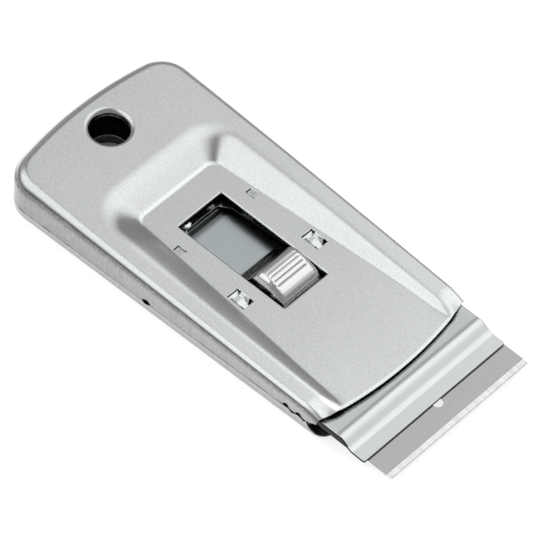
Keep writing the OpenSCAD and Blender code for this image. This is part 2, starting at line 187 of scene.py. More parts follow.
def arc(centre: Pair, r: float, start: float, end: float, n: int) -> Array:
    """Points along a circular arc.

    Args:
        centre: The circle's centre.
        r: Its radius.
        start: First angle, in degrees.
        end: Last angle, in degrees.
        n: Count of points, both ends included.

    Returns:
        Points, n by 2.
    """
    a = np.radians(np.linspace(start, end, n))
    return np.stack([centre[0] + r * np.cos(a), centre[1] + r * np.sin(a)], axis=1)


def rounded_box(x0: float, x1: float, half: float, r: float) -> Array:
    """A closed loop round a box that is symmetric about y = 0, with round corners.

    Args:
        x0: Rear end.
        x1: Front end.
        half: Half the width.
        r: Corner radius.

    Returns:
        Points, anticlockwise.
    """
    back, front, side = x0 + r, x1 - r, half - r
    turns = ((front, -side, -90), (front, side, 0), (back, side, 90), (back, -side, 180))
    return np.concatenate([arc((x, y), r, turn, turn + 90, 5) for x, y, turn in turns])


def dents(x: Array, table: Table) -> Array:
    """Round-shouldered dents along an edge, full over 0.7 of their half width and gone at 1.15 of it.

    Args:
        x: Places along the edge.
        table: Middle, half width and depth of each dent.

    Returns:
        The depth at each x.
    """
    return sum(depth * (1 - smooth((np.abs(x - at) - half * 0.7) / (half * 0.45))) for at, half, depth in table)


def inside(points: Array, loop: Array) -> Array:
    """Tests points against a closed loop, by counting crossings of a ray along +X.

    Args:
        points: Points, n by 2.
        loop: The loop's points.

    Returns:
        Which points lie inside.
    """
    x, y = points[:, 0][:, None], points[:, 1][:, None]
    ax, ay = loop[:, 0][None], loop[:, 1][None]
    bx, by = np.roll(loop[:, 0], -1)[None], np.roll(loop[:, 1], -1)[None]
    rise = np.where(by == ay, 1.0, by - ay)
    crosses = ((ay > y) != (by > y)) & (x < ax + (y - ay) / rise * (bx - ax))
    return crosses.sum(axis=1) % 2 == 1


def shared(points: Array) -> tuple[Array, Array]:
    """Finds points that share a place.

    Args:
        points: Points, n by 3.

    Returns:
        The first point at each place, and each point's place.
    """
    key = np.round(points * WELD_STEPS).astype(np.int64)
    _, first, back = np.unique(key, axis=0, return_index=True, return_inverse=True)
    return first, back.reshape(-1)


def turned_wall(
    ring: Callable[[float], tuple[Array, Array]],
    start: Rule,
    plane: Rule,
    r: Rule,
    slope: float,
    way: int,
    rows: tuple[int, int],
) -> tuple[Array, Array]:
    """A side wall that turns through a quarter circle into a top or a floor.

    At angle a, the quarter circle is drawn in by r(1 - cos a) and lies r(1 - sin a) off the plane.

    Args:
        ring: The outline's points and normals, drawn in by a share of r.
        start: Height of the wall's free edge, from x.
        plane: Height of the top or floor, from x.
        r: The radius, from x.
        slope: How far the plane falls for each step in x.
        way: 1 for a top, -1 for a floor.
        rows: Counts of rows in the wall and in the quarter circle.

    Returns:
        Points and normals, both n by m by 3.
    """
    p, n = ring(0.0)
    low, high = start(p[:, 0]), plane(p[:, 0]) - way * r(p[:, 0])
    points = [np.column_stack([p, low + (high - low) * t]) for t in np.linspace(0, 1, rows[0] + 1)[:-1]]
    normals = [np.column_stack([n, 0 * low])] * rows[0]
    for a in np.radians(np.linspace(0, 90, rows[1])):
        p, n = ring(1 - math.cos(a))
        x, nz = p[:, 0], np.full(len(p), way * math.sin(a))
        points.append(np.column_stack([p, plane(x) - way * r(x) * (1 - math.sin(a))]))
        normals.append(np.column_stack([n * math.cos(a) + np.outer(nz, (slope, 0.0)), nz]))
    return np.stack(points, axis=1), unit(np.stack(normals, axis=1))


def turned_hole(
    hole_r: float, bend_r: float, depth: float, plane: Rule, slope: float, way: int, turns: int
) -> tuple[Array, Array]:
    """A round hole's edge, turned in through a quarter circle and then straight.

    Args:
        hole_r: Radius of the hole.
        bend_r: Radius of the quarter circle.
        depth: Distance from the plane to the edge's end.
        plane: Height of the sheet round the hole, from x.
        slope: How far the sheet falls for each step in x.
        way: 1 where the edge turns down, -1 where it turns up.
        turns: Count of rows in the quarter circle.

    Returns:
        Points and normals, both n by m by 3, from the sheet inwards.
    """
    a = np.radians(np.linspace(0, 90, turns))
    r = np.concatenate([hole_r + bend_r * (1 - np.sin(a)), [hole_r] * 3])
    drop = np.concatenate([bend_r * (1 - np.cos(a)), np.linspace(bend_r, depth, 4)[1:]])
    nr = np.concatenate([-np.sin(a), [-1.0] * 3])
    nz = np.concatenate([np.cos(a), [0.0] * 3]) * way
    around = np.linspace(0, 2 * math.pi, 73)[:, None]
    c, q = np.cos(around), np.sin(around)
    points = np.stack([r * c, r * q, plane(r * c) - way * drop], axis=-1)
    points[-1] = points[0]
    return points, unit(np.stack([nr * c + slope * nz, nr * q, nz + 0 * c], axis=-1))


# ---- meshes


@dataclass
class Faces:
    """A closed mesh: points with a tone each, and faces with a normal for each corner."""

    points: list[Array] = field(default_factory=list)
    tones: list[Array] = field(default_factory=list)
    faces: list[Array] = field(default_factory=list)
    corners: list[Array] = field(default_factory=list)

    def add(self, points: Array, faces: Array, corner_normals: Array, tone: Array | float = 0.0) -> None:
        """Adds faces with their own points.

        Args:
            points: Points, k by 3, in millimetres.
            faces: Indices into points, one row a face.
            corner_normals: A normal for each corner, faces by corners by 3.
            tone: Brightness added to the finish at each point.
        """
        self.faces.append(faces + sum(map(len, self.points)))
        self.points.append(points)
        self.tones.append(np.broadcast_to(tone, len(points)))
        self.corners.append(corner_normals)

    def mesh(self, name: str) -> bpy.types.Mesh:
        """Welds the points and makes the Blender mesh with its corner normals.

        A face that loses a corner in the welding becomes a triangle, and a folded one is left out.

        Args:
            name: The mesh's name.

        Returns:
            The mesh, in metres.
        """
        points = np.concatenate(self.points)
        first, back = shared(points)
        rows: list[list[int]] = []
        normals: list[Array] = []
        for block, corner in zip(self.faces, self.corners):
            welded = back[block]
            keep = welded != np.roll(welded, 1, axis=1)
            whole = (keep & (welded != np.roll(welded, 2, axis=1))).all(axis=1)
            rows += welded[whole].tolist()
            normals.append(corner[whole].reshape(-1, 3))
            for face, flags, c in zip(welded[~whole], keep[~whole], corner[~whole]):
                if flags.sum() == len(set(face)) == 3:
                    rows.append(face[flags].tolist())
                    normals.append(c[flags])
        mesh = bpy.data.meshes.new(name)
        mesh.from_pydata((points[first] * MM).tolist(), [], rows)
        mesh.shade_smooth()
        mesh.normals_split_custom_set(unit(np.concatenate(normals)).tolist())
        tone = np.zeros(len(first), np.float32)
        tone[back] = np.concatenate(self.tones)
        mesh.attributes.new(TONE, "FLOAT", "POINT").data.foreach_set("value", tone)
        mesh.update()
        return mesh


@dataclass
class Patch:
    """A part of a skin: points with a normal and a tone each, faces, and the patch's rank."""

    points: Array
    normals: Array
    tones: Array
    faces: Array
    rank: int


@dataclass
class Skin:
    """A smooth one-sided surface, welded from patches, that becomes a sheet of even thickness.

    Each point has one normal. Where patches meet, the patch with the higher rank gives it, so a
    flat patch keeps its own normal up to its border.
    """

    patches: list[Patch] = field(default_factory=list)

    def _add(self, points: Array, normals: Array, faces: Array, rank: int, tone: Array | float = 0.0) -> None:
        """Stores a patch, turned so that its faces point the way of its normals.

        Args:
            points: Points, k by 3.
            normals: Their normals.
            faces: Indices into points, one row a face.
            rank: Which patch gives a shared point its normal.
            tone: Brightness added to the finish at each point.
        """
        a, b, c = (points[faces[:, i]] for i in range(3))
        out = (np.cross(b - a, c - a) * normals[faces[:, 0]]).sum() > 0
        tones = np.broadcast_to(tone, len(points)).astype(float)
        self.patches.append(Patch(points, normals, tones, faces if out else faces[:, ::-1], rank))

    def grid(
        self,
        points: Array,
        normals: Array | None = None,
        rank: int = 0,
        up: bool = True,
        tone: Array | float = 0.0,
    ) -> Array:
        """Adds a grid of points.

        Args:
            points: Points, n by m by 3.
            normals: Their normals. Without them they come from the grid, pointing up or down.
            rank: Which patch gives a shared point its normal.
            up: Whether computed normals point up on the whole.
            tone: Brightness added to the finish, for each point or column.

        Returns:
            The first column seen from above, without its last point.
        """
        n, m = points.shape[:2]
        if normals is None:
            normals = grid_normals(points)
            if (normals[..., 2].sum() > 0) != up:
                normals = -normals
        i = np.arange(n * m).reshape(n, m)
        faces = np.stack([i[:-1, :-1], i[1:, :-1], i[1:, 1:], i[:-1, 1:]], axis=-1).reshape(-1, 4)
        tone = np.broadcast_to(tone, points.shape[:2]).reshape(-1)
        self._add(points.reshape(-1, 3), normals.reshape(-1, 3), faces, rank, tone)
        return points[:-1, 0, :2]

    def region(
        self,
        outer: Array,
        holes: Sequence[Array],
        height: Rule,
        normal: tuple[float, float, float],
        free: Array | None = None,
    ) -> None:
        """Fills a plane region between closed loops with triangles.

        Args:
            outer: The outer loop, k by 2.
            holes: Loops that stay open.
            height: Height of the plane, from x.
            normal: The plane's normal.
            free: Further points inside the region.
        """

        def within(p: Array) -> Array:
            """Which points lie in the region."""
            return inside(p, outer) & ~np.any([inside(p, hole) for hole in holes], axis=0)

        loops = [outer, *holes]
        known = np.concatenate(loops)
        edges, start = [], 0
        for loop in loops:
            i = np.arange(len(loop)) + start
            edges += np.stack([i, np.roll(i, -1)], axis=1).tolist()
            start += len(loop)
        if free is not None:
            known = np.concatenate([known, free[within(free)]])
        made = delaunay_2d_cdt([Vector(p) for p in known], edges, [], 1, 1e-7)
        source = np.array([o[0] if o else -1 for o in made[3]])
        xy = np.array([tuple(v) for v in made[0]])
        xy[source >= 0] = known[source[source >= 0]]
        tris = np.array([f for f in made[2] if len(f) == 3])
        tris = tris[within(xy[tris].mean(axis=1))]
        points = np.concatenate([xy, height(xy[:, 0])[:, None]], axis=1)
        normals = np.broadcast_to(unit(np.array(normal)), points.shape).copy()
        self._add(points, normals, tris, 2)

    def thickened(
        self,
        sheet: float,
        edge_r: float,
        edge_tone: float | Rule,
        warp: Callable[[Array, Array], tuple[Array, Array]] = lambda points, normals: (points, normals),
    ) -> Faces:
        """Joins the patches, gives the skin its thickness and rounds every free edge.

        Each free edge gets a strip whose section is a flat edge with a round corner on each side:
        a point moves out along the surface by edge_r times the sine of the turn.

        Args:
            sheet: The thickness, laid inwards from the skin.
            edge_r: Radius of the free edges' corners. The sheet ends that far outside the skin.
            edge_tone: Brightness added on the free edges, or a rule that gives it from the points.
            warp: Bends the joined points and normals first.

        Returns:
            The closed mesh.
        """
        points, normals, tones, ranks = (
            np.concatenate(parts)
            for parts in zip(*((p.points, p.normals, p.tones, np.full(len(p.points), p.rank)) for p in self.patches))
        )
        order = np.argsort(-ranks, kind="stable")
        first, back = shared(points[order])
        place = np.empty(len(points), np.int64)
        place[order] = back
        chosen = order[first]
        points, normals = warp(points[chosen], unit(normals)[chosen])
        tones = tones[chosen]
        solid = Faces()
        inner = points - sheet * normals
        a, b, start = [], [], 0
        for patch in self.patches:
            f = place[patch.faces + start]
            start += len(patch.points)
            pinched = (f == np.roll(f, 1, axis=1)).sum(axis=1)
            f = f[pinched <= f.shape[1] - 3]
            solid.add(points, f, normals[f], tones)
            turned = f[:, ::-1]
            solid.add(inner, turned, -normals[turned], tones)
            a.append(f.reshape(-1))
            b.append(np.roll(f, -1, axis=1).reshape(-1))
        n = len(points)
        a, b = np.concatenate(a), np.concatenate(b)
        free = ~np.isin(a * n + b, b * n + a)
        a, b = a[free], b[free]
        along = unit(points[b] - points[a])
        out = unit(np.cross(along, unit(normals[a] + normals[b])))
        first, last = np.zeros((n, 3)), np.zeros((n, 3))
        first[a], last[b] = out, out
        turn = (first * last).sum(axis=1, keepdims=True)
        miter = (first + last) / np.maximum(1.0 + turn, 0.5)
        away = unit(miter)
        angles = np.radians([0, 30, 60, 90, 90, 120, 150, 180])
        depths = [edge_r] * 4 + [sheet - edge_r] * 4
        rows = [
            points - d * normals + edge_r * (normals * math.cos(t) + miter * math.sin(t))
            for t, d in zip(angles, depths)
        ]
        shades = [normals * math.cos(t) + away * math.sin(t) for t in angles]
        on_edge = edge_tone(points) if callable(edge_tone) else np.full(n, edge_tone)
        shown = [tones, *[on_edge] * 6, tones]
        k = np.arange(len(a))
        faces = np.stack([k + 3 * len(k), k + 2 * len(k), k + len(k), k], axis=1)
        for i in range(len(rows) - 1):
            corners = ((i, a), (i, b), (i + 1, b), (i + 1, a))
            quad = np.concatenate([rows[j][e] for j, e in corners])
            shade = np.stack([shades[j][e] for j, e in corners[::-1]], axis=1)
            solid.add(quad, faces, shade, np.concatenate([shown[j][e] for j, e in corners]))
        return solid


# ---- finishes


class Graph:
    """A short way to write a node graph."""

    def __init__(self, tree: bpy.types.NodeTree) -> None:
        """Wraps the tree of a material or a world."""
        self.nodes, self.links = tree.nodes, tree.links

    def feed(self, node: bpy.types.Node, inputs: dict[str | int, object]) -> None:
        """Links or sets inputs of a node.

        Args:
            node: The node.
            inputs: A socket or a constant for each input, by its name or place.
        """
        for key, value in inputs.items():
            if isinstance(value, Socket):
                self.links.new(value, node.inputs[key])
            else:
                node.inputs[key].default_value = value

    def add(self, kind: str, inputs: dict[str | int, object], output: str | int = 0, **settings: str) -> Socket:
        """Adds a node.

        Args:
            kind: The node's type, without ShaderNode before it.
            inputs: As for feed.
            output: The output that is wanted.
            settings: The node's own settings.

        Returns:
            The output's socket.
        """
        node = self.nodes.new("ShaderNode" + kind)
        for key, value in settings.items():
            setattr(node, key, value)
        self.feed(node, inputs)
        return node.outputs[output]

    def remap(self, value: Socket, source: Pair, target: Pair, step: str = "LINEAR") -> Socket:
        """Maps one range of a value to another, clamped."""
        keys = ("From Min", "From Max", "To Min", "To Max")
        return self.add("MapRange", {"Value": value, **dict(zip(keys, (*source, *target)))}, interpolation_type=step)

    def math(self, operation: str, *values: Socket | float) -> Socket:
        """Joins several values, two at a time, by one operation.

        Args:
            operation: The Math node's operation.
            values: Sockets or constants, the first one a socket.

        Returns:
            The result's socket.
        """
        so_far = values[0]
        for value in values[1:]:
            so_far = self.add("Math", {0: so_far, 1: value}, operation=operation)
        return so_far


def new_material(name: str) -> tuple[bpy.types.Material, Graph]:
    """Makes a node material.

    Args:
        name: The material's name.

    Returns:
        The material and its graph.
    """
    mat = bpy.data.materials.new(name)
    mat.use_nodes = True
    return mat, Graph(mat.node_tree)


class Grain(Enum):
    """Which way a piece's fine grinding lines run, as how much the noise is stretched."""

    NONE = (1.0, 1.0, 1.0)
    ALONG = (0.03, 1.0, 1.0)
    ACROSS = (1.0, 0.03, 1.0)
    UPRIGHT = (1.0, 1.0, 0.05)


@dataclass(frozen=True)
class Steel:
    """Satin or bright steel with fine grain, clouding and small scratches, and painted highlights and shade.

    Where a lit rectangle is given, as its middle and half sizes, painted shade darkens what
    lies outside it, over the distance fade. Each noise is given by its scale and its detail.
    """

    name: str
    colour: tuple[float, float, float]
    roughness: float
    grain: Grain
    speckle: float
    lines: float
    relief: float
    cloud: float = 0.02
    lit_area: tuple[float, float, float, float] | None = None
    shade_depth: float = 0.85
    fade: float = 1.5
    cloud_noise: Pair = (90.0, 3.0)
    speck_noise: Pair = (3000.0, 4.0)
    line_noise: Pair = (2600.0, 3.0)
    scratch_noise: Pair = (700.0, 5.0)
    tone_breakup_noise: Pair = (1500.0, 3.0)
    middle: Pair = (0.3, 0.7)
    bounds: Pair = (0.03, 3.0)
    grain_height: float = 0.00003

    def material(self) -> bpy.types.Material:
        """The material, made once for each name.

        Brightness is 1 plus speckle, line and cloud noise, each about zero, plus the mesh's own
        tone of painted highlights and painted shade, which is broken up by noise. Roughness follows
        the clouds and rises in the scratches.

        Returns:
            The node material.
        """
        found = bpy.data.materials.get(self.name)
        if found is not None:
            return found
        mat, graph = new_material(self.name)
        place = graph.add("TexCoord", {}, "Object")

        def noise(size: Pair, stretch: tuple[float, ...] = Grain.NONE.value) -> Socket:
            """Noise over the piece, stretched by a Mapping node."""
            vector = graph.add("Mapping", {"Vector": place, "Scale": stretch})
            return graph.add("TexNoise", {"Vector": vector, "Scale": size[0], "Detail": size[1]}, "Fac")

        clouds, specks = noise(self.cloud_noise), noise(self.speck_noise)
        lines = noise(self.line_noise, self.grain.value)
        scratch = noise(self.scratch_noise, (0.05, 1.0, 1.0))
        # The mesh's tone holds painted highlights and painted shade; this noise breaks it up.
        tone_breakup = graph.remap(noise(self.tone_breakup_noise), (0.3, 0.5), (0.75, 1.0))
        painted_light_tone = graph.add("Attribute", {}, "Fac", attribute_name=TONE)
        bright = graph.math(
            "ADD",
            graph.remap(specks, self.middle, (1 - self.speckle, 1 + self.speckle)),
            graph.remap(lines, self.middle, (-self.lines, self.lines)),
            graph.remap(clouds, self.middle, (-self.cloud, self.cloud)),
            graph.math("MULTIPLY", painted_light_tone, tone_breakup),
        )
        # Painted shade: darker outside the lit rectangle, over the distance fade.
        if self.lit_area is not None:
            x, y, half_x, half_y = (v * MM for v in self.lit_area)
            away, zero, half = place, (0.0, 0.0, 0.0), (half_x, half_y, 1.0)
            steps = ("SUBTRACT", (x, y, 0.0)), ("ABSOLUTE", zero), ("SUBTRACT", half), ("MAXIMUM", zero)
            for operation, other in steps:
                away = graph.add("VectorMath", {0: away, 1: other}, operation=operation)
            length = graph.add("VectorMath", {0: away}, "Value", operation="LENGTH")
            bright = graph.math("ADD", bright, graph.remap(length, (0.0, self.fade * MM), (0.0, -self.shade_depth)))
        bright = graph.remap(bright, self.bounds, self.bounds)
        rough = graph.math(
            "ADD",
            graph.remap(clouds, self.middle, (self.roughness * 0.9, self.roughness * 1.1)),
            graph.remap(scratch, (0.64, 0.74), (0.0, self.roughness * 0.35)),
        )
        height = graph.math("ADD", specks, graph.remap(lines, (0.0, 1.0), (0.0, self.lines * 10)))
        bump = {"Strength": self.relief, "Distance": self.grain_height, "Height": height}
        graph.feed(graph.nodes["Principled BSDF"], {
            "Metallic": 1.0,
            "Base Color": graph.add("VectorMath", {0: self.colour, "Scale": bright}, operation="SCALE"),
            "Roughness": rough,
            "Normal": graph.add("Bump", bump),
        })
        return mat


SHELL = Steel("shell_satin", (0.64, 0.655, 0.655), 0.20, Grain.UPRIGHT, 0.07, 0.05, 0.25)
SLIDE = Steel("slide_satin", (0.63, 0.647, 0.652), 0.15, Grain.ACROSS, 0.02, 0.02, 0.15)
BUTTON = Steel("button_satin", (0.70, 0.705, 0.705), 0.20, Grain.NONE, 0.04, 0.02, 0.25)
BLADE = Steel("blade_ground", (0.49, 0.495, 0.495), 0.16, Grain.ACROSS, 0.02, 0.02, 0.15)
EDGE = Steel("blade_edge", (0.77, 0.77, 0.77), 0.30, Grain.ALONG, 0.04, 0.13, 0.3)
SPRING = Steel("spring_satin", (0.46, 0.50, 0.51), 0.13, Grain.ACROSS, 0.04, 0.02, 0.25)
# The lever's leaf is lit only in a rectangle seen through the window; outside it, painted shade darkens it, as under
# the cover's edges.
LEAF = replace(SPRING, name="leaf_satin", roughness=0.3, lit_area=(34.45, -1.1, 5.85, 5.4))
RIVET = Steel("rivet_bright", (0.66, 0.67, 0.67), 0.18, Grain.NONE, 0.03, 0.02, 0.25)
# The lever's rivets get the same painted shade: only the right-hand rivet lies in the lit rectangle.
LEAF_RIVET = replace(RIVET, name="leaf_rivet", lit_area=(24.3, -3.1, 2.0, 2.5))


def put(name: str, data: bpy.types.ID) -> bpy.types.Object:
    """Makes an object at the origin and links it to the scene.

    Args:
        name: The object's name.
        data: Its mesh or camera.

    Returns:
        The object.
    """
    obj = bpy.data.objects.new(name, data)
    bpy.context.scene.collection.objects.link(obj)
    return obj


@dataclass(frozen=True)
class Piece:
    """How a finished mesh joins the frame."""

    name: str
    body: str
    slot: str
    finish: Steel
    replaces: tuple[str, ...] = ()

    def place(self, faces: Faces) -> None:
        """Makes the object at the origin, dresses it, ties it to its body and reports it.

        Args:
            faces: The finished mesh, in millimetres.
        """
        mesh = faces.mesh(self.name)
        mesh.materials.append(self.finish.material())
        obj = put(self.name, mesh)
        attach(obj, self.body)
        if self.replaces:
            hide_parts(*self.replaces)
        LOG.info("%s: %d faces on %s", self.name, len(mesh.polygons), self.body)


# ---- outlines


@dataclass(frozen=True)
class Outline:
    """The body seen from above: straight tapering sides, round rear corners, a curved rear end."""

    sizes: Sizes = SIZES
    side_points: int = 120
    corner_points: int = 18
    rear_points: int = 26
    front_points: int = 30
    front_corner_points: int = 14

    def _corner(self, r: float, end_x: float, end_r: float, way: float) -> Pair:
        """Finds the circle that meets the side line and, from inside, an end circle.

        Args:
            r: The circle's radius.
            end_x: The end circle's centre, on the middle line.
            end_r: The end circle's radius.
            way: 1 at the front end, -1 at the rear end.

        Returns:
            The circle's centre.
        """
        slope = self.sizes.side_slope
        w = self.sizes.body_half_hole - r / math.cos(math.atan(slope))
        k = end_r - r
        q = 1 + slope * slope
        b = end_x + w * slope
        x = (b + way * math.sqrt(b * b - q * (end_x**2 + w * w - k * k))) / q
        return x, w - x * slope

    def half(self, depth: Rule, front: Rule) -> tuple[Array, Array]:
        """The left half from the front to the middle of the rear end, drawn in.

        Args:
            depth: Distance inwards from the outline, from x.
            front: Place of the front end, from y.

        Returns:
            Points and outward normals, both k by 2.
        """
        s = self.sizes
        tilt = math.atan(s.side_slope)

        def edge(x: Array) -> Array:
            """Half the width at x."""
            return s.body_half_hole - depth(x) / math.cos(tilt) - s.side_slope * x

        x1 = np.array([s.body_front])
        for _ in range(8):
            x1 = front(edge(x1))
        x0 = s.rear_arc_r - s.body_back
        c = self._corner(s.corner_r, x0, s.rear_arc_r, -1)
        meet = 180 - math.degrees(math.atan2(c[1], x0 - c[0]))
        corner = arc(c, s.corner_r, 90 - math.degrees(tilt), meet, self.corner_points)
        rear = arc((x0, 0.0), s.rear_arc_r, meet, 180, self.rear_points)
        out_corner, out_rear = unit(corner - np.array(c)), unit(rear - np.array([x0, 0.0]))
        corner = corner - out_corner * depth(corner[:, 0])[:, None]
        rear = rear - out_rear * depth(rear[:, 0])[:, None]
        rear[-1, 1] = 0.0
        x = np.linspace(float(x1[0]), corner[0, 0], self.side_points)
        side = np.stack([x, edge(x)], axis=1)[:-1]
        out_side = np.broadcast_to([math.sin(tilt), math.cos(tilt)], side.shape)
        return np.concatenate([side, corner[:-1], rear]), np.concatenate([out_side, out_corner[:-1], out_rear])

    def whole(self, depth: Rule) -> tuple[Array, Array]:
        """The outline from the right front corner round the rear end to the left front corner.

        Args:
            depth: Distance inwards from the outline, from x.

        Returns:
            Points and outward normals, both k by 2.
        """
        p, n = self.half(depth, self.sizes.front_x)
        return mirrored(p), mirrored(n)

    def closed(self, inset: float, corner_r: float, end_x: float, end_r: float) -> tuple[Array, Array]:
        """The base's closed outline: as the body's, with a curved front end and round corners.

        Args:
            inset: Distance inwards from the outline.
            corner_r: Radius of the front corners.
            end_x: Centre of the front circle.
            end_r: Radius of the front circle.

        Returns:
            Points and outward normals, the first point repeated at the end.
        """
        c = self._corner(corner_r, end_x, end_r, 1)
        tilt = math.atan(self.sizes.side_slope)
        meet = math.degrees(math.atan2(c[1], c[0] - end_x))
        front = arc((end_x, 0.0), end_r - inset, 0, meet, self.front_points)[:-1]
        front[0, 1] = 0.0
        corner = arc(c, corner_r - inset, meet, 90 - math.degrees(tilt), self.front_corner_points)[:-1]
        p, n = self.half(level(inset), level(c[0] + (corner_r - inset) * math.sin(tilt)))
        out = np.concatenate([unit(front - np.array([end_x, 0.0])), unit(corner - np.array(c)), n])
        return tuple(mirrored(line) * (1.0, -1.0) for line in (np.concatenate([front, corner, p]), out))


# ---- the top cover


@dataclass(frozen=True)
class Recess:
    """The pressed panel in the cover: a flat floor and a ramp up to the rim."""

    sizes: Sizes = SIZES
    back: float = 18.4
    half_rear: float = 11.3
    half_front: float = 15.7
    corner_r: float = 2.5
    ramp_len: float = 5.9
    ramp_half: float = 17.3
    ramp_corner_r: float = 7.0
    end: float = 81.2
    blend_foot: float = 0.6
    blend_top: float = 1.9
    hollow: float = 1.2
    # Painted highlights on the ramp: a broad one on the right side's upper part and a thin one along the rear foot.
    near_glow: float = 0.42
    glow_start: Pair = (0.25, 0.6)
    glow_end: Pair = (1.0, 0.45)
    foot_glow: float = 0.2
    ramp_points: int = 10
    side_points: int = 110
    corner_points: int = 22
    rear_points: int = 10

    def _outline(self, back: float, half_rear: float, half_front: float, r: float) -> Array:
        """The left half of a U outline: straight side, round corner, back line to the middle.

        Args:
            back: Place of the back line.
            half_rear: Half the width at the back line.
            half_front: Half the width at the front.
            r: Corner radius.

        Returns:
            Points, n by 2.
        """
        tilt = math.degrees(math.atan((half_front - half_rear) / (self.end - back)))
        corner = arc((back + r, half_rear - r), r, 90 + tilt, 180, self.corner_points)
        start = np.array([self.end, half_front])
        side = start + (corner[0] - start) * np.linspace(0, 1, self.side_points)[:, None]
        last = np.linspace(half_rear - r, 0, self.rear_points)
        return np.concatenate([side[:-1], corner[:-1], np.stack([np.full_like(last, back), last], axis=1)])

    def lines(self) -> tuple[Array, Array, Array]:
        """Lines of points from the panel up to the rim, at stations round the U.

        Each station has a foot point on the floor's outline and a top point on the rim's. Points
        run from one to the other and past both by the blends. The stations on the straight sides
        are respaced, so that each line of equal share ends on the curved front edge. A thin painted
        highlight lies along the foot at the rear, and a broad one on the upper part of the right
        side. Both fade out over about ten stations at the U's corners.

        Returns:
            Points n by m by 3, normals, and the painted highlight added to each point.
        """
        s, n_side = self.sizes, self.side_points
        foot = self._outline(self.back, self.half_rear, self.half_front, self.corner_r)
        top = self._outline(self.back - self.ramp_len, self.ramp_half, self.ramp_half, self.ramp_corner_r)
        span = np.linalg.norm(top - foot, axis=1)[:, None]
        low = np.minimum(self.blend_foot / span, 0.3)
        high = np.minimum(self.blend_top / span, 0.45)
        u = np.linspace(-1, 1, 9)[None]
        middle = np.linspace(0, 1, self.ramp_points + 2)[1:-1][None]
        q = np.concatenate([low * u, low + (1 - low - high) * middle, 1 + high * u], axis=1)
        xy = foot[:, None] + q[..., None] * (top - foot)[:, None]
        start, way = xy[0], xy[n_side - 1] - xy[0]
        rel = start - np.array([s.body_front - s.front_arc_r, 0.0])
        a, b, c = (way**2).sum(1), 2 * (rel * way).sum(1), (rel**2).sum(1) - s.front_arc_r**2
        t = (-b - np.sqrt(b * b - 4 * a * c)) / (2 * a)
        share = np.linspace(0, 1, n_side)[:, None]
        xy[:n_side] = start + way * (t + (1 - t) * share)[..., None]
        rise = np.where(q < low, (q + low) ** 2 / (4 * low), q)
        rise = np.where(q > 1 - high, 1 - (1 + high - q) ** 2 / (4 * high), rise)
        rise = 1 - (1 - np.clip(rise, 0, 1)) ** self.hollow
        rise[:, 0], rise[:, -1] = 0.0, 1.0
        z = s.panel_top + (s.rim_z(xy[..., 0]) - s.panel_top) * rise
        half = np.concatenate([xy, z[..., None]], axis=-1)
        half[-1, :, 1] = 0.0
        points = mirrored(half)
        normals = grid_normals(points)
        normals *= np.sign(normals[..., 2:].sum())
        station = np.arange(len(points))[:, None]
        (a, wide_a), (b, wide_b) = self.glow_start, self.glow_end
        glow = self.near_glow * smooth((q[0] - a) / wide_a) * (1 - smooth((q[0] - b) / wide_b))
        line = np.pad(self.foot_glow * (1 - np.abs(u[0])), (0, q.shape[1] - u.size))
        rear = smooth((station - n_side + 4) / 10) * smooth((len(points) - n_side + 4 - station) / 10)
        return points, normals, glow * (1 - smooth((station - n_side + 14) / 12)) + line * rear


@dataclass(frozen=True)
class Tabs:
    """The four lanced tabs beside the window."""

    pitch: float = 21.5
    cut: float = 0.38
    rear_x: Pair = (28.6, 31.3)
    rear_half: float = 1.12
    rear_drop: float = 0.12
    rear_root: float = 0.35
    front_x: Pair = (44.3, 49.0)
    front_half: float = 1.58
    front_drop: float = 0.62
    nose_drop: float = 1.35
    nose_back: float = 1.9
    free: float = 1.15
    turn: float = 0.5

    def rear(self, z: float, y0: float) -> tuple[Array, Array]:
        """A rear tab: a tongue that dips towards its free rear end.

        Args:
            z: The panel's height.
            y0: The tab's middle.

        Returns:
            The tongue's points, and the loop of the hole in the panel.
        """
        x0, x1 = self.rear_x
        x = np.linspace(x0 + self.cut, x1, 12)
        half = self.rear_half - self.cut * (1 - smooth((x - x1 + self.rear_root) / self.rear_root))
        dip = self.rear_drop * (1 - smooth((x - x0) / (x1 - x0)))
        tongue = grid_points(x, y0 + np.outer(half, np.linspace(-1, 1, 9)), z - dip[:, None])
        back = [[x0, y0 + self.rear_half], [x0, y0 - self.rear_half]]
        return tongue, np.concatenate([tongue[-1, :, :2], back])

    def front(self, z: float, y0: float) -> tuple[Array, Array]:
        """A front tab: a strip held at both sides of its middle, with its nose bent down.

        The strip's depth grows towards the nose. Across the middle it falls from the panel by a
        smoothstep of the distance from the side, and at both ends its sides are cut free.

        Args:
            z: The panel's height.
            y0: The tab's middle.

        Returns:
            The strip's points, and the loop of the hole in the panel.
        """
        x0, x1 = self.front_x
        a, b = x0 + self.free, x1 - self.free
        ends = (x0 + self.cut, a - 0.02, 9), (a, b, 15), (b + 0.02, x1 - self.cut, 11)
        x = np.concatenate([np.linspace(*end) for end in ends])
        held = ((x >= a - 1e-6) & (x <= b + 1e-6))[:, None]
        v = np.linspace(-1, 1, 21)
        depth = self.front_drop * (0.45 + 0.55 * smooth((x - x0) / self.free))
        past = x - x0 - self.nose_back
        depth = depth + (self.nose_drop - self.front_drop) * smooth(past / (x1 - x0 - self.nose_back))
        wall = smooth((1 - np.abs(v)) / self.turn)[None]
        open_end = np.maximum(smooth((a - x) / self.turn), smooth((x - b) / self.turn))[:, None]
        share = np.where(held, wall, np.maximum(wall, 0.25 + 0.75 * open_end))
        y = y0 + np.where(held, self.front_half, self.front_half - self.cut) * v
        strip = grid_points(x, y, z - depth[:, None] * share)
        middle = strip[held[:, 0]][..., :2]
        right, left = y0 - self.front_half, y0 + self.front_half
        ends = [[x0, right]], middle[:, 0], [[x1, right], [x1, left]], middle[::-1, -1], [[x0, left]]
        return strip, np.concatenate(ends)


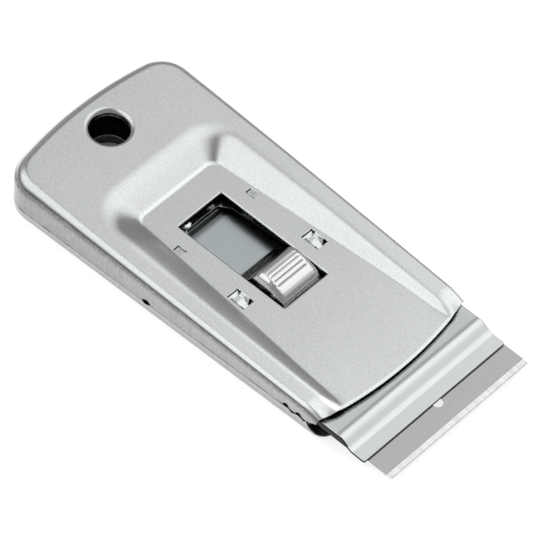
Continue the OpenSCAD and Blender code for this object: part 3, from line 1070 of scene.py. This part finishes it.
@dataclass
class TopCover:
    """The upper pressed shell."""

    sizes: Sizes = SIZES
    outline: Outline = field(default_factory=Outline)
    recess: Recess = field(default_factory=Recess)
    tabs: Tabs = field(default_factory=Tabs)
    edge_r: float = 0.11
    lip_r: float = 1.15
    lip_depth: float = 1.55
    curl_len: float = 4.4
    curl_drop: float = 0.95
    curl_power: float = 1.4
    curl_y: Pair = (14.6, 5.0)
    curl_spread: float = 0.6
    warp_z: Pair = (3.6, 1.6)
    panel_sag: float = 0.55
    sag_x: Pair = (46.0, 34.0)
    sag_y: Pair = (14.4, 2.9)
    corner_back: float = 0.6
    corner_y: Pair = (15.5, 6.0)
    window_r: float = 0.4
    window_turn: float = 65.0
    window_corner: float = 0.3
    roll_len: float = 0.55
    roll_drop: float = 0.2
    roll_rows: tuple[float, ...] = (0.12, 0.24, 0.37, 0.5, 0.65)
    roll_half: float = 15.3
    corner_mesh: Table = ((74.2, 80.2, 0.3), (15.0, 21.5, 0.35))
    # Painted shade and highlight on the skirt, by column from the wall's lower edge round the rim: on the side towards
    # the camera the wall is painted darker, darkest on the lower part of the rim's round; on the far side the wall is
    # a little darker and the round gets a painted highlight. near_way points to the camera's side.
    skirt_tone: Table = ((0, -0.38), (4, -0.33), (6, -0.38), (7, -0.55), (9, -0.62), (12, 0.0))
    far_tone: Table = (
        (0, -0.2), (9, -0.1), (11, 0.3), (12, 0.5), (13, 0.5), (14, 0.3), (15, -0.02), (16, -0.04),
    )
    near_way: Pair = (0.637, -0.771)
    front_lift: float = 1.5
    front_lift_x: Pair = (74.6, 77.6)
    # Painted light: the whole cover a little darker at the rear and lighter at the front.
    sheet_tone: Pair = (-0.11, 0.03)
    # Painted highlights on the cut edges on top, painted shade on the edges along the seam.
    top_edge_tone: float = 0.25
    seam_edge_tone: float = -0.5
    seam_reach: float = 1.2
    seam_half: float = 20.8
    notches: Table = (
        (32.4, 0.8, 0.95), (71.5, 4.5, 0.15), (69.4, 0.9, 0.85), (72.7, 0.85, 0.75), (-1.7, 1.1, 0.2),
        (5.2, 1.1, 0.18), (11.0, 0.6, 0.16), (50.5, 5.0, 0.08), (62.0, 2.5, 0.1),
    )

    def _seam(self, x: Array) -> Array:
        """Height of the skirt's lower edge, lifted where the shells are crimped.

        Args:
            x: Places along the body.

        Returns:
            The heights.
        """
        s = self.sizes
        start, end = self.front_lift_x
        front = self.front_lift * np.clip((x - start) / (end - start), 0, None) ** 1.5
        return s.seam_z(x) + s.seam_gap / 2 + self.edge_r + dents(x, self.notches) + front

    def _skirt(self, skin: Skin) -> Array:
        """Adds the side wall and the round rim.

        Args:
            skin: The cover's skin.

        Returns:
            The rim's inner line.
        """
        s = self.sizes
        points, normals = turned_wall(
            lambda share: self.outline.whole(lambda x: s.rim_r(x) * share),
            self._seam, s.rim_z, s.rim_r, s.rim_slope, 1, (6, 11),
        )
        column = np.arange(points.shape[1])
        # Painted shade and highlight, mixed by how far each point faces the camera's side.
        near, far = (np.interp(column, *zip(*table)) for table in (self.skirt_tone, self.far_tone))
        share = smooth((normals[:, :1, :2] @ np.array(self.near_way) + 0.25) / 0.5)
        skin.grid(points, normals, rank=1, tone=far + (near - far) * share)
        return points[:, -1, :2]

    def _window_edge(self, skin: Skin) -> Array:
        """Adds the window's turned-down edge, an arc into the window.

        Args:
            skin: The cover's skin.

        Returns:
            The edge's outer loop.
        """
        s = self.sizes
        a = np.radians(np.linspace(0, self.window_turn, 7))[:, None]
        inner, outer = (
            rounded_box(s.window_back - w, s.window_front + w, s.window_half + w, self.window_corner + w)
            for w in (0, 1)
        )
        start, end = (np.concatenate([loop, loop[:1]])[:, None] for loop in (inner, outer))
        xy = start + (end - start) * (self.window_r * (1 - np.sin(a)))
        one = np.ones_like(xy[..., :1])
        points = np.concatenate([xy, one * (s.panel_top - self.window_r * (1 - np.cos(a)))], axis=-1)
        turned = np.concatenate([(start - end) * np.sin(a), one * np.cos(a)], axis=-1)
        return skin.grid(points, turned, rank=1)

    def _warp(self, points: Array, normals: Array) -> tuple[Array, Array]:
        """Curls the rim down at the two front corners, and rolls the whole front edge down.

        The roll is its size times the square of the nearness to the front edge. The curl is its
        size times a lower power of that nearness, times a smoothstep across the rim. The panel
        also sags towards the front. Normals follow by the slopes of the drop.

        Args:
            points: The joined points.
            normals: Their normals.

        Returns:
            The bent points and their normals.
        """
        s = self.sizes

        def near(x: Array, y: Array, reach: float) -> Array:
            """Nearness to the front edge: 1 on it, 0 from the reach on."""
            return np.clip((x - s.front_x(y) + reach) / reach, 0, 1)

        def drop(x: Array, y: Array) -> Array:
            """Adds up the sag, the curl and the roll.

            Args:
                x: Places along the body.
                y: Places across it.

            Returns:
                How far each place drops.
            """
            curl = near(x, y, self.curl_len)
            side = smooth((np.abs(y) - self.curl_y[0] - self.curl_spread * (1 - curl)) / self.curl_y[1])
            roll = self.roll_drop * near(x, y, self.roll_len) ** 2 * (1 - 0.6 * side)
            sag = self.panel_sag * np.clip((x - self.sag_x[0]) / self.sag_x[1], 0, 1) ** 2
            sag = sag * (1 - smooth((np.abs(y) - self.sag_y[0]) / self.sag_y[1]))
            return sag + self.curl_drop * curl**self.curl_power * side + roll

        x, y, z = points.T
        h = 1e-3
        slopes = np.stack([drop(x - h, y) - drop(x + h, y), drop(x, y - h) - drop(x, y + h), 0 * z], axis=1) / (2 * h)
        bent = points.copy()
        bent[:, 2] -= drop(x, y) * smooth((z - self.warp_z[0]) / self.warp_z[1])
        corner = np.clip((np.abs(y) - self.corner_y[0]) / self.corner_y[1], 0, 1)
        bent[:, 0] -= self.corner_back * corner**2 * near(x, y, self.curl_len) ** 2
        return bent, unit(normals - slopes * normals[:, 2:])

    def build(self) -> None:
        """Builds the cover from its skirt, rim, ramp, panel, lip and tabs."""
        s = self.sizes
        skin = Skin()
        rim = self._skirt(skin)
        lines, normals, glow = self.recess.lines()
        skin.grid(lines, normals, rank=1, tone=glow)
        foot, top = lines[:, 0, :2], lines[:, -1, :2]
        lip = skin.grid(*turned_hole(s.hole_r, self.lip_r, self.lip_depth, s.rim_z, s.rim_slope, 1, 10), rank=1)

        def bridge(a: float, b: float, n: int = 12) -> Array:
            """Points on the front edge between two values of y."""
            y = np.linspace(a, b, n)[1:-1]
            return np.stack([s.front_x(y), y], axis=1)

        holes = [self._window_edge(skin)]
        for side in (-1, 1):
            for make in (self.tabs.rear, self.tabs.front):
                tab, loop = make(s.panel_top, side * self.tabs.pitch / 2)
                skin.grid(tab)
                holes.append(loop)
        back, y = np.meshgrid(self.roll_rows, np.linspace(-self.roll_half, self.roll_half, 80))
        roll = np.stack([s.front_x(y) - back, y], axis=-1).reshape(-1, 2)
        roll = roll[np.abs(roll[:, 1]) < foot[-1, 1] - 0.05]
        panel = np.concatenate([foot, bridge(foot[0, 1], foot[-1, 1], 61)[::-1]])
        skin.region(panel, holes, level(s.panel_top), (0, 0, 1), roll)

        ends = bridge(rim[-1, 1], top[-1, 1]), bridge(top[0, 1], rim[0, 1])
        outer = np.concatenate([rim, ends[0], top[::-1], ends[1]])
        free = np.stack(np.meshgrid(*(np.arange(*span) for span in self.corner_mesh)), axis=-1).reshape(-1, 2)
        free = free[free[:, 0] < s.front_x(free[:, 1]) - self.roll_rows[0]]
        skin.region(outer, [lip], s.rim_z, (s.rim_slope, 0, 1), np.concatenate([free, free * (1, -1)]))

        def edge_tone(points: Array) -> Array:
            """Painted highlights on the cut edges on top, painted shade on those along the seam."""
            low = (points[:, 2] < s.seam_z(points[:, 0]) + self.seam_reach) | (np.abs(points[:, 1]) > self.seam_half)
            return np.where(low, self.seam_edge_tone, self.top_edge_tone)

        # Painted light along the cover, darker at the rear and lighter at the front.
        for patch in skin.patches:
            patch.tones += np.interp(patch.points[:, 0], (-s.body_back, s.body_front), self.sheet_tone)
        made = skin.thickened(s.sheet, self.edge_r, edge_tone, self._warp)
        Piece("cover_shell", "housing", "shell_steel", SHELL, ("top_cover",)).place(made)


# ---- the base


@dataclass
class BaseTray:
    """The lower pressed shell."""

    sizes: Sizes = SIZES
    outline: Outline = field(default_factory=Outline)
    edge_r: float = 0.11
    floor_r: float = 0.6
    set_back: float = 0.3
    front_r: float = 400.0
    corner_r: float = 3.0
    mouth_back: float = 5.3
    mouth_drop: float = 0.5
    mouth_sill: float = 0.5
    mouth_lip: float = 0.03
    mouth_len: float = 3.0
    groove_half: float = 0.4
    groove_depth: float = 0.75
    groove_x: Pair = (8.0, 74.0)
    groove_y: float = 20.35
    # Painted shade: the tray's free edges along the seam are darker.
    edge_tone: float = -0.5
    collar_r: float = 0.25
    collar_top: float = 2.3
    # Painted shade on the collar inside the hang hole.
    collar_tone: float = -0.85
    # Painted shade on the wall, by column from its upper edge: darkest where the wall turns into the floor.
    wall_tone: Table = ((0, -0.22), (3, -0.28), (6, -0.42), (9, -0.42), (13, 0.0))
    notches: Table = ((70.9, 0.55, 0.5), (73.8, 0.5, 0.5), (32.2, 0.5, 0.35))

    def _top(self, x: Array) -> Array:
        """Height of the wall's upper edge: the seam, then a step down to the mouth's sill.

        Args:
            x: Places along the body.

        Returns:
            The heights.
        """
        s = self.sizes
        full = s.seam_z(x) - s.seam_gap / 2 - self.edge_r - dents(x, self.notches)
        past = x - (s.body_front - self.mouth_back)
        low = self.floor_r + self.mouth_lip + self.mouth_sill * (1 - smooth(past / self.mouth_len))
        return full + (low - full) * smooth(past / self.mouth_drop)

    def build(self) -> None:
        """Builds the tray from its wall, its floor, the hole's collar and two pressed ribs."""
        s = self.sizes
        end_x = s.body_front - self.set_back - self.front_r
        skin = Skin()
        points, normals = turned_wall(
            lambda share: self.outline.closed(self.floor_r * share, self.corner_r, end_x, self.front_r),
            self._top, level(0.0), level(self.floor_r), 0.0, -1, (5, 9),
        )
        skin.grid(points, normals, rank=1, tone=np.interp(np.arange(points.shape[1]), *zip(*self.wall_tone)))
        collar = turned_hole(s.hole_r, self.collar_r, self.collar_top, level(0.0), 0.0, -1, 8)
        holes = [skin.grid(*collar, rank=1, tone=self.collar_tone)]
        holes += [self._rib(skin, y) for y in (-self.groove_y, self.groove_y)]
        skin.region(points[:-1, -1, :2], holes, level(0.0), (0, 0, -1))
        made = skin.thickened(s.sheet, self.edge_r, self.edge_tone)
        Piece("base_tray", "housing", "shell_steel", SHELL, ("base_plate",)).place(made)

    def _rib(self, skin: Skin, y0: float) -> Array:
        """Adds a rib pressed up from the floor: a long groove seen from below.

        Args:
            skin: The tray's skin.
            y0: The rib's middle line.

        Returns:
            The loop where the groove starts in the floor.
        """

        def stadium(share: float) -> Array:
            """Loop round the groove, narrower the deeper it lies.

            Args:
                share: Share of the way from the floor to the groove's bottom.

            Returns:
                Points, n by 3, the first point repeated at the end.
            """
            r = self.groove_half * (1 - 0.85 * share)
            rear, front = (arc((x, y0), r, a, a + 180, 13) for x, a in zip(self.groove_x, (90, -90)))
            t = np.linspace(0, 1, 41)[1:, None]
            sides = front[-1] + (rear[0] - front[-1]) * t[:-1], rear[-1] + (front[0] - rear[-1]) * t
            loop = np.concatenate([front, sides[0], rear, sides[1]])
            return np.column_stack([loop, np.full(len(loop), self.groove_depth * smooth(share))])

        rows = np.stack([stadium(share) for share in np.linspace(0, 1, 9)], axis=1)
        foot = skin.grid(rows, up=False)
        skin.region(rows[:-1, -1, :2], [], level(self.groove_depth), (0, 0, -1))
        return foot


# ---- the slide


@dataclass
class Carrier:
    """The slide's plate: turned-down flanges, an opening, and a nose stepped down over the blade."""

    sizes: Sizes = SIZES
    edge_r: float = 0.1
    bend_r: float = 0.3
    # Painted shade: dark free edges, as the dark line at the nose over the blade, dark flanges below the bends, and a
    # slight darkening of the plate behind the step.
    edge_tone: float = -1.3
    flange_tone: float = -1.25
    flat_tone: float = -0.08
    flange_h: float = 1.25
    flange_min: float = 0.25
    flange_front: float = 84.6
    nose_x: Pair = (86.4, 86.6)
    corner_cut: float = 0.25
    opening: Table = ((26.0, 4.4), (28.4, 6.2), (42.05, 7.3), (54.35, 7.3), (55.15, 6.5))
    slot_x: Pair = (48.8, 51.0)
    slot_y: Pair = (10.25, 11.25)
    swell: float = 0.4
    swell_x: Pair = (70.0, 78.0)
    step: Table = (
        (81.2, 0.0), (81.8, -8.5), (82.15, -6.0), (82.45, 4.0), (82.8, 18.0), (83.2, 30.0),
        (83.8, 34.0), (84.7, 34.0), (85.3, 26.0), (85.8, 10.0), (86.1, 2.0), (89.1, 2.0),
    )

    def height(self, x: Array) -> Array:
        """Height of the plate's top at x.

        The slope angle runs through the step's points. The height is the sum of its tangent along
        x, scaled so that the nose ends at the solids' height. Behind the step the plate swells up
        by a smoothstep, to close the mouth.

        Args:
            x: Places along the plate.

        Returns:
            The heights.
        """
        s = self.sizes
        at = np.linspace(self.step[0][0], self.step[-1][0], 400)
        angle = np.radians(np.interp(at, *zip(*self.step)))
        fall = np.concatenate([[0.0], np.cumsum(np.tan(angle[:-1]) * np.diff(at))])
        fall *= (s.carrier_top + self.swell - s.nose_top) / fall[-1]
        start, end = self.swell_x
        return s.carrier_top + self.swell * smooth((x - start) / (end - start)) - np.interp(x, at, fall)

    def _flange(self, skin: Skin, side: int) -> Array:
        """Adds one side's bend and flange.

        Args:
            skin: The plate's skin.
            side: 1 for the left side, -1 for the right.

        Returns:
            The bend's upper line.
        """
        s = self.sizes
        flat = self.swell_x[0]
        x = np.concatenate([np.linspace(s.carrier_back, flat, 24), np.linspace(flat + 0.4, self.flange_front, 60)])
        top = self.height(x)
        foot = top - self.bend_r
        low = np.minimum(s.carrier_top - self.flange_h + self.edge_r, foot - self.flange_min)
        a = np.radians([*np.linspace(0, 90, 8), *[90] * 5])
        down = np.concatenate([np.zeros(8), np.linspace(0, 1, 6)[1:]])
        y = side * (s.carrier_half - self.bend_r * (1 - np.sin(a)))
        z = top[:, None] - self.bend_r * (1 - np.cos(a)) + np.outer(low - foot, down)
        lean = np.outer(-np.gradient(top, x), np.cos(a))
        normals = np.stack(np.broadcast_arrays(lean, side * np.sin(a), np.cos(a)), axis=-1)
        # Painted shade on the flange, from the bend down.
        tone = self.flange_tone * smooth((np.arange(len(a)) - 1) / 3)
        points = grid_points(x, np.broadcast_to(y, z.shape), z)
        skin.grid(points, unit(normals), rank=1, tone=tone)
        return points[:, 0]

    def build(self) -> None:
        """Builds the flanges, the flat plate with its openings, and the swelling stepped nose."""
        s = self.sizes
        skin = Skin()
        left, right = self._flange(skin, 1), self._flange(skin, -1)
        flat = left[:, 0] <= self.swell_x[0] + 1e-9
        half = np.array(self.opening)
        holes = [np.concatenate([half * (1, -1), half[::-1]])]
        corner = np.array([(self.slot_x[i], self.slot_y[j]) for i, j in ((0, 0), (1, 0), (1, 1), (0, 1))])
        holes += [corner * (1, -1), corner]
        v = np.linspace(-1, 1, 41)
        x = np.concatenate([[self.swell_x[0]], left[~flat][:, 0]])
        y = np.outer(np.full_like(x, s.carrier_half - self.bend_r), v)
        last = np.stack([np.full_like(v, x[0]), y[0]], axis=1)[1:-1]
        outer = np.concatenate([right[flat][:, :2], last, left[flat][::-1, :2]])
        skin.region(outer, holes, level(s.carrier_top), (0, 0, 1))
        # A slight painted shade on the plate behind the step.
        tone = self.flat_tone * (1 - smooth((x - self.step[0][0]) / 1.5))
        skin.grid(grid_points(x, y, self.height(x)[:, None]), tone=tone[:, None])
        x = np.concatenate([
            np.linspace(self.flange_front, self.nose_x[0], 30),
            np.linspace(self.nose_x[1], s.clamp_front - self.edge_r, 14),
        ])
        cut = np.clip(x - (s.clamp_front - self.corner_cut - self.edge_r), 0, None)
        nose = np.outer(s.carrier_half - self.edge_r - cut, v)
        nose[0] = y[0]
        skin.grid(grid_points(x, nose, self.height(x)[:, None]))
        made = skin.thickened(s.sheet, self.edge_r, self.edge_tone)
        Piece("slide_carrier", "slider", "slide_steel", SLIDE, ("blade_carrier",)).place(made)


@dataclass
class Blade:
    """The blade: a thin flat plate with a plain hole and a ground edge."""

    sizes: Sizes = SIZES
    half: float = 20.0
    middle: float = 0.6
    round_r: float = 0.02
    # Painted shade: dark edges on the plate.
    edge_tone: float = -0.35
    hole_x: float = 89.25
    hole_r: float = 1.2
    bevel: float = 1.35
    edge_t: float = 0.05
    # A dark line of painted shade at the ground edge's tip.
    tip_line: float = 0.18
    tip_soft: float = 0.04
    tip_tone: float = -0.4
    stud_x: float = 83.0
    stud_half: float = 12.5
    stud_r: float = 1.35

    def build(self) -> None:
        """Builds the flat plate and the ground edge, each with its own finish."""
        s = self.sizes
        front = s.blade_edge - self.bevel
        v = np.linspace(-self.half, self.half, 41) + self.middle
        right = np.stack([np.linspace(s.blade_back, front, 20), np.full(20, v[0])], axis=1)
        left = right[::-1][1:] + [0, 2 * self.half]
        outer = np.concatenate([right[:-1], np.stack([np.full_like(v, front), v], axis=1), left])
        holes = [arc((self.hole_x, self.middle), self.hole_r, 0, 360, 49)[:-1]]
        holes += [arc((self.stud_x, y), self.stud_r, 0, 360, 33)[:-1] for y in (-self.stud_half, self.stud_half)]
        skin = Skin()
        skin.region(outer, holes, level(s.blade_top), (0, 0, 1))
        made = skin.thickened(s.blade_top - s.clamp_top, self.round_r, self.edge_tone)
        Piece("blade_plate", "slider", "blade_steel", BLADE, ("scraper_blade",)).place(made)
        Piece("blade_ground_edge", "slider", "blade_steel", EDGE).place(self._ground_edge(front + self.round_r))

    def _ground_edge(self, start: float) -> Faces:
        """The ground edge: a wedge with a dark line of painted shade at its tip.

        Args:
            start: Place of the wedge's thick end.

        Returns:
            The closed mesh.
        """
        s = self.sizes
        middle, thin = (s.blade_top + s.clamp_top) / 2, self.edge_t / 2
        slope = (s.blade_top - middle - thin) / (s.blade_edge - start)
        line = s.blade_edge - self.tip_line
        x = np.array([start, start, line - self.tip_soft, line, s.blade_edge, s.blade_edge])
        z = middle + thin + slope * (s.blade_edge - x)
        z[0], z[-1] = s.clamp_top, middle - thin
        tones = np.where(x < line, 0.0, self.tip_tone)
        ends = [np.column_stack([x, np.full_like(x, y + self.middle), z]) for y in (-self.half, self.half)]
        faces = Faces()

        def flat_face(points: Array, normal: Array, tone: Array) -> None:
            """Adds a flat face that points the way of its normal.

            Args:
                points: The face's corners in order.
                normal: The way it points.
                tone: Brightness added at each corner.
            """
            turned = np.dot(np.cross(points[1] - points[0], points[2] - points[0]), normal) > 0
            index = np.arange(len(points))[:: 1 if turned else -1]
            faces.add(points, index[None], np.broadcast_to(normal, (1, len(points), 3)), tone)

        for i, k in zip(range(len(x)), np.roll(range(len(x)), -1)):
            quad = np.array([ends[0][i], ends[1][i], ends[1][k], ends[0][k]])
            flat_face(quad, unit(np.array([z[i] - z[k], 0.0, x[k] - x[i]])), tones[[i, i, k, k]])
        for end, way in zip(ends, (-1.0, 1.0)):
            flat_face(end, np.array([0.0, way, 0.0]), tones)
        return faces


# ---- the button


@dataclass
class Button:
    """The pressed hollow button with its grip grooves and its foot flange."""

    sizes: Sizes = SIZES
    sheet: float = 0.3
    edge_r: float = 0.08
    wall: float = 0.45
    ridge: Table = (
        (42.65, 2.9), (42.95, 3.75), (43.55, 4.85), (44.25, 6.1), (44.95, 7.25), (45.6, 8.0), (46.35, 8.42),
        (47.1, 8.5), (47.9, 8.47), (48.8, 8.3), (49.6, 7.98), (50.4, 7.58), (51.2, 7.2), (52.0, 6.75),
        (52.7, 6.2), (53.3, 5.5), (53.75, 4.7), (54.05, 3.6), (54.15, 2.85),
    )
    kernel_width: int = 45
    grooves: tuple[float, ...] = (47.35, 48.45, 49.55, 50.6)
    groove_half: float = 0.19
    groove_depth: float = 0.19
    groove_end: Pair = (3.4, 1.2)
    rib_height: float = 0.04
    rib_half: float = 0.3
    rib_shift: float = 0.55
    ends_x: Table = ((42.6, 2.6), (54.1, 1.6))
    narrowing: float = 0.01
    top: float = 8.5
    top_half: float = 5.25
    shoulder_r: float = 1.6
    toe: tuple[float, float, float] = (0.25, 0.45, 0.28)
    foot_half: float = 6.05
    # Painted shadow on the rear and lower part of the hump, where it meets the leaf.
    foot_tone: float = -0.85
    foot_tone_x: Pair = (43.0, 2.2)
    foot_tone_z: Pair = (3.4, 3.6)
    flange_half: float = 6.55
    lead: Table = ((1.85, 2.27), (1.6, 2.36), (1.2, 2.5), (0.8, 2.6), (0.4, 2.68))
    trail: tuple[float, ...] = (0.2, 0.4)

    def _ridge_line(self) -> Array:
        """The side view: a smooth line through the ridge's points, even in length.

        Returns:
            Points, n by 2, x and z.
        """
        knots = np.array(self.ridge)
        t = np.concatenate([[0.0], np.cumsum(np.linalg.norm(np.diff(knots, axis=0), axis=1))])
        line = np.stack([np.interp(np.linspace(0, t[-1], 900), t, column) for column in knots.T], axis=1)
        kernel = np.hanning(self.kernel_width)
        ends = self.kernel_width // 2
        padded = np.pad(line, ((ends, ends), (0, 0)), mode="reflect", reflect_type="odd")
        return np.stack([np.convolve(column, kernel / kernel.sum(), mode="valid") for column in padded.T], axis=1)[::3]

    def _front_view(self, height: float) -> tuple[Array, Array]:
        """The front view: level top, round shoulder, steep side, round toe and level flange.

        Args:
            height: Height of the top over the foot.

        Returns:
            Distances to the left, and the share of the height left at each.
        """
        r, (toe_in, toe_w, toe_h) = self.shoulder_r, self.toe
        turn, toe = np.radians(np.linspace(0, 84, 14)), np.radians(np.linspace(0, 80, 8)[1:])
        flat, foot = self.top_half - r * 0.8, self.foot_half - toe_in
        y = np.concatenate([np.linspace(0, flat, 14)[:-1], flat + r * np.sin(turn)])
        drop = np.concatenate([np.zeros(13), r * (1 - np.cos(turn))])
        side = np.linspace(0, 1, 12)[1:]
        toe_y = foot + toe_w * (1 - np.cos(toe))
        flange = np.linspace(toe_y[-1], self.flange_half, 5)[1:]
        y = np.concatenate([y, y[-1] + (foot - y[-1]) * side, toe_y, flange])
        wall = drop[-1] + (height - toe_h - drop[-1]) * side
        drop = np.concatenate([drop, wall, height - toe_h + toe_h * np.sin(toe), np.full(len(flange), height)])
        return y, 1 - drop / height

    def build(self) -> None:
        """Builds the hump as a grid: side view times front view, with grooves pressed in.

        The width narrows a little towards both ends. Each groove is a narrow bell curve along x,
        with a low broad one between it and the next. Level rows of the flange lie at both ends.
        """
        foot_z = self.sizes.lever_top + self.wall
        x, z = self._ridge_line().T
        y, share = self._front_view(self.top - foot_z)
        v, f = np.concatenate([-y[:0:-1], y]), np.concatenate([share[:0:-1], share])
        (rear, rear_len), (front, front_len) = self.ends_x
        end = np.minimum(smooth((x - rear) / rear_len), smooth((front - x) / front_len))
        groove = sum(np.exp(-(((x - g) / self.groove_half) ** 2) * 2.2) for g in self.grooves)
        rib = sum(np.exp(-(((x - g - self.rib_shift) / self.rib_half) ** 2) * 2.0) for g in self.grooves[:-1])
        fade = 1 - smooth((np.abs(v) - self.groove_end[0]) / self.groove_end[1])
        height = foot_z + np.outer(np.clip(z - foot_z, 0, None), f)
        height += np.outer(self.rib_height * rib - self.groove_depth * groove, fade)
        body = grid_points(x, np.outer(1 - self.narrowing * (1 - end), v), height)

        def flange_row(row: Array, shift: float, z: float) -> Array:
            """A level row of the flange beyond one end of the hump."""
            return np.column_stack([row[:, 0] + shift, row[:, 1], np.full(len(row), z)])

        lead = [flange_row(body[0], -shift, z) for shift, z in self.lead]
        trail = [flange_row(body[-1], shift, foot_z) for shift in self.trail]
        points = np.concatenate([lead, body, trail])
        # Painted shadow at the hump's rear foot.
        behind = 1 - smooth((points[..., 0] - self.foot_tone_x[0]) / self.foot_tone_x[1])
        below = 1 - smooth((points[..., 2] - self.foot_tone_z[0]) / self.foot_tone_z[1])
        skin = Skin()
        skin.grid(points, tone=self.foot_tone * behind * below)
        made = skin.thickened(self.sheet, self.edge_r, 0.0)
        Piece("ribbed_button", "lever", "button_steel", BUTTON, ("thumb_button",)).place(made)


# ---- kept solids, stage, camera, light


class KeptSolid(Enum):
    """Solids that show as they are, with their finish."""

    CLAMP = ("clamp_plate", SPRING)
    STUDS = ("blade_studs", RIVET)
    CLAMP_RIVETS = ("clamp_rivets", RIVET)
    LEVER = ("lock_lever", LEAF)
    LEVER_RIVETS = ("lever_rivets", LEAF_RIVET)

    def dress(self, nodes: dict[str, bpy.types.Object]) -> None:
        """Puts the finish on the solid.

        Args:
            nodes: The frame's solids by name.
        """
        name, finish = self.value
        for slot in nodes[name].material_slots:
            slot.material = finish.material()
        LOG.info("%s keeps its solid", name)


@dataclass(frozen=True)
class SoftBox:
    """A large soft light in the room, given by direction and by the angles where it fades."""

    azimuth: float
    elevation: float
    strength: float
    inner: float
    outer: float


@dataclass(frozen=True)
class Studio:
    """The floor, the soft light and the camera."""

    boxes: tuple[SoftBox, ...] = (
        SoftBox(72, 56, 1.36, 12, 46),
        SoftBox(225, 52, 1.34, 24, 44),
        SoftBox(114, 60, 0.90, 8, 34),
    )
    room: Pair = (0.34, 0.30)
    camera_at: tuple[float, float, float] = (0.43687, -0.47510, 0.78294)
    azimuth: float = -50.462
    elevation: float = 51.666
    roll: float = 4.6
    lens: float = 333.4
    floor_half: float = 3.0
    floor_glow: float = 0.6
    shade_r: float = 0.006

    def floor(self) -> None:
        """Lays the plain pale floor. It glows, but not under the hang hole, where it lies in shade."""
        h = self.floor_half
        mesh = bpy.data.meshes.new("floor")
        mesh.from_pydata([(-h, -h, 0), (h, -h, 0), (h, h, 0), (-h, h, 0)], [], [(0, 1, 2, 3)])
        mat, graph = new_material("pale_floor")
        place = graph.add("TexCoord", {}, "Object")
        reach = graph.add("VectorMath", {0: place}, "Value", operation="LENGTH")
        clear = graph.math("GREATER_THAN", reach, self.shade_r)
        graph.feed(graph.nodes["Principled BSDF"], {
            "Base Color": (0.72, 0.72, 0.72, 1),
            "Roughness": 0.9,
            "Emission Color": (1, 1, 1, 1),
            "Emission Strength": graph.math("MULTIPLY", clear, self.floor_glow),
        })
        mesh.materials.append(mat)
        put("floor", mesh)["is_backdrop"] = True

    def camera(self) -> None:
        """Sets the camera where the photograph was taken from."""
        roll = math.radians(self.roll)
        back = heading(self.azimuth, self.elevation)
        right = Vector((0, 0, 1)).cross(back).normalized()
        up = back.cross(right)
        side = right * math.cos(roll) + up * math.sin(roll)
        top = -right * math.sin(roll) + up * math.cos(roll)
        data = bpy.data.cameras.new("camera")
        data.lens, data.sensor_width = self.lens, 36.0
        data.clip_start, data.clip_end = 0.01, 20.0
        camera = put("camera", data)
        camera.matrix_world = Matrix.Translation(self.camera_at) @ Matrix((side, top, back)).transposed().to_4x4()
        bpy.context.scene.camera = camera

    def world(self) -> None:
        """Surrounds the object with a plain room in which a few large soft boxes hang.

        Each box's light falls by a smoothstep of the cosine of the angle from its middle. The
        brightest source wins in each direction.
        """
        world = bpy.data.worlds.new("room")
        world.use_nodes = True
        bpy.context.scene.world = world
        graph = Graph(world.node_tree)
        way = graph.add("TexCoord", {}, "Generated")
        light = graph.remap(graph.add("SeparateXYZ", {0: way}, "Z"), (0.0, 1.0), self.room, "SMOOTHSTEP")
        for box in self.boxes:
            middle = tuple(heading(box.azimuth, box.elevation))
            cosine = graph.add("VectorMath", {0: way, 1: middle}, "Value", operation="DOT_PRODUCT")
            fade = math.cos(math.radians(box.outer)), math.cos(math.radians(box.inner))
            light = graph.math("MAXIMUM", light, graph.remap(cosine, fade, (0.0, box.strength), "SMOOTHSTEP"))
        graph.feed(graph.nodes["Background"], {"Strength": light, "Color": (1, 1, 1, 1)})

    def build(self) -> None:
        """Sets up the whole studio."""
        self.floor()
        self.camera()
        self.world()
        view = bpy.context.scene.view_settings
        view.view_transform, view.look = "Standard", "None"


# ---- the whole


def corners() -> list[list[float]]:
    """The shown object's lowest and highest corner as plain lists."""
    return [[float(c) for c in corner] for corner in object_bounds()]


def main() -> None:
    """Builds every piece around the frame."""
    logging.basicConfig(level=logging.INFO, format="%(name)s: %(message)s")
    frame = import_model()
    for assembly in (Studio(), TopCover(), BaseTray(), Carrier(), Blade(), Button()):
        assembly.build()
    for kept in KeptSolid:
        kept.dress(frame["nodes"])


if __name__ == "__main__":
    main()
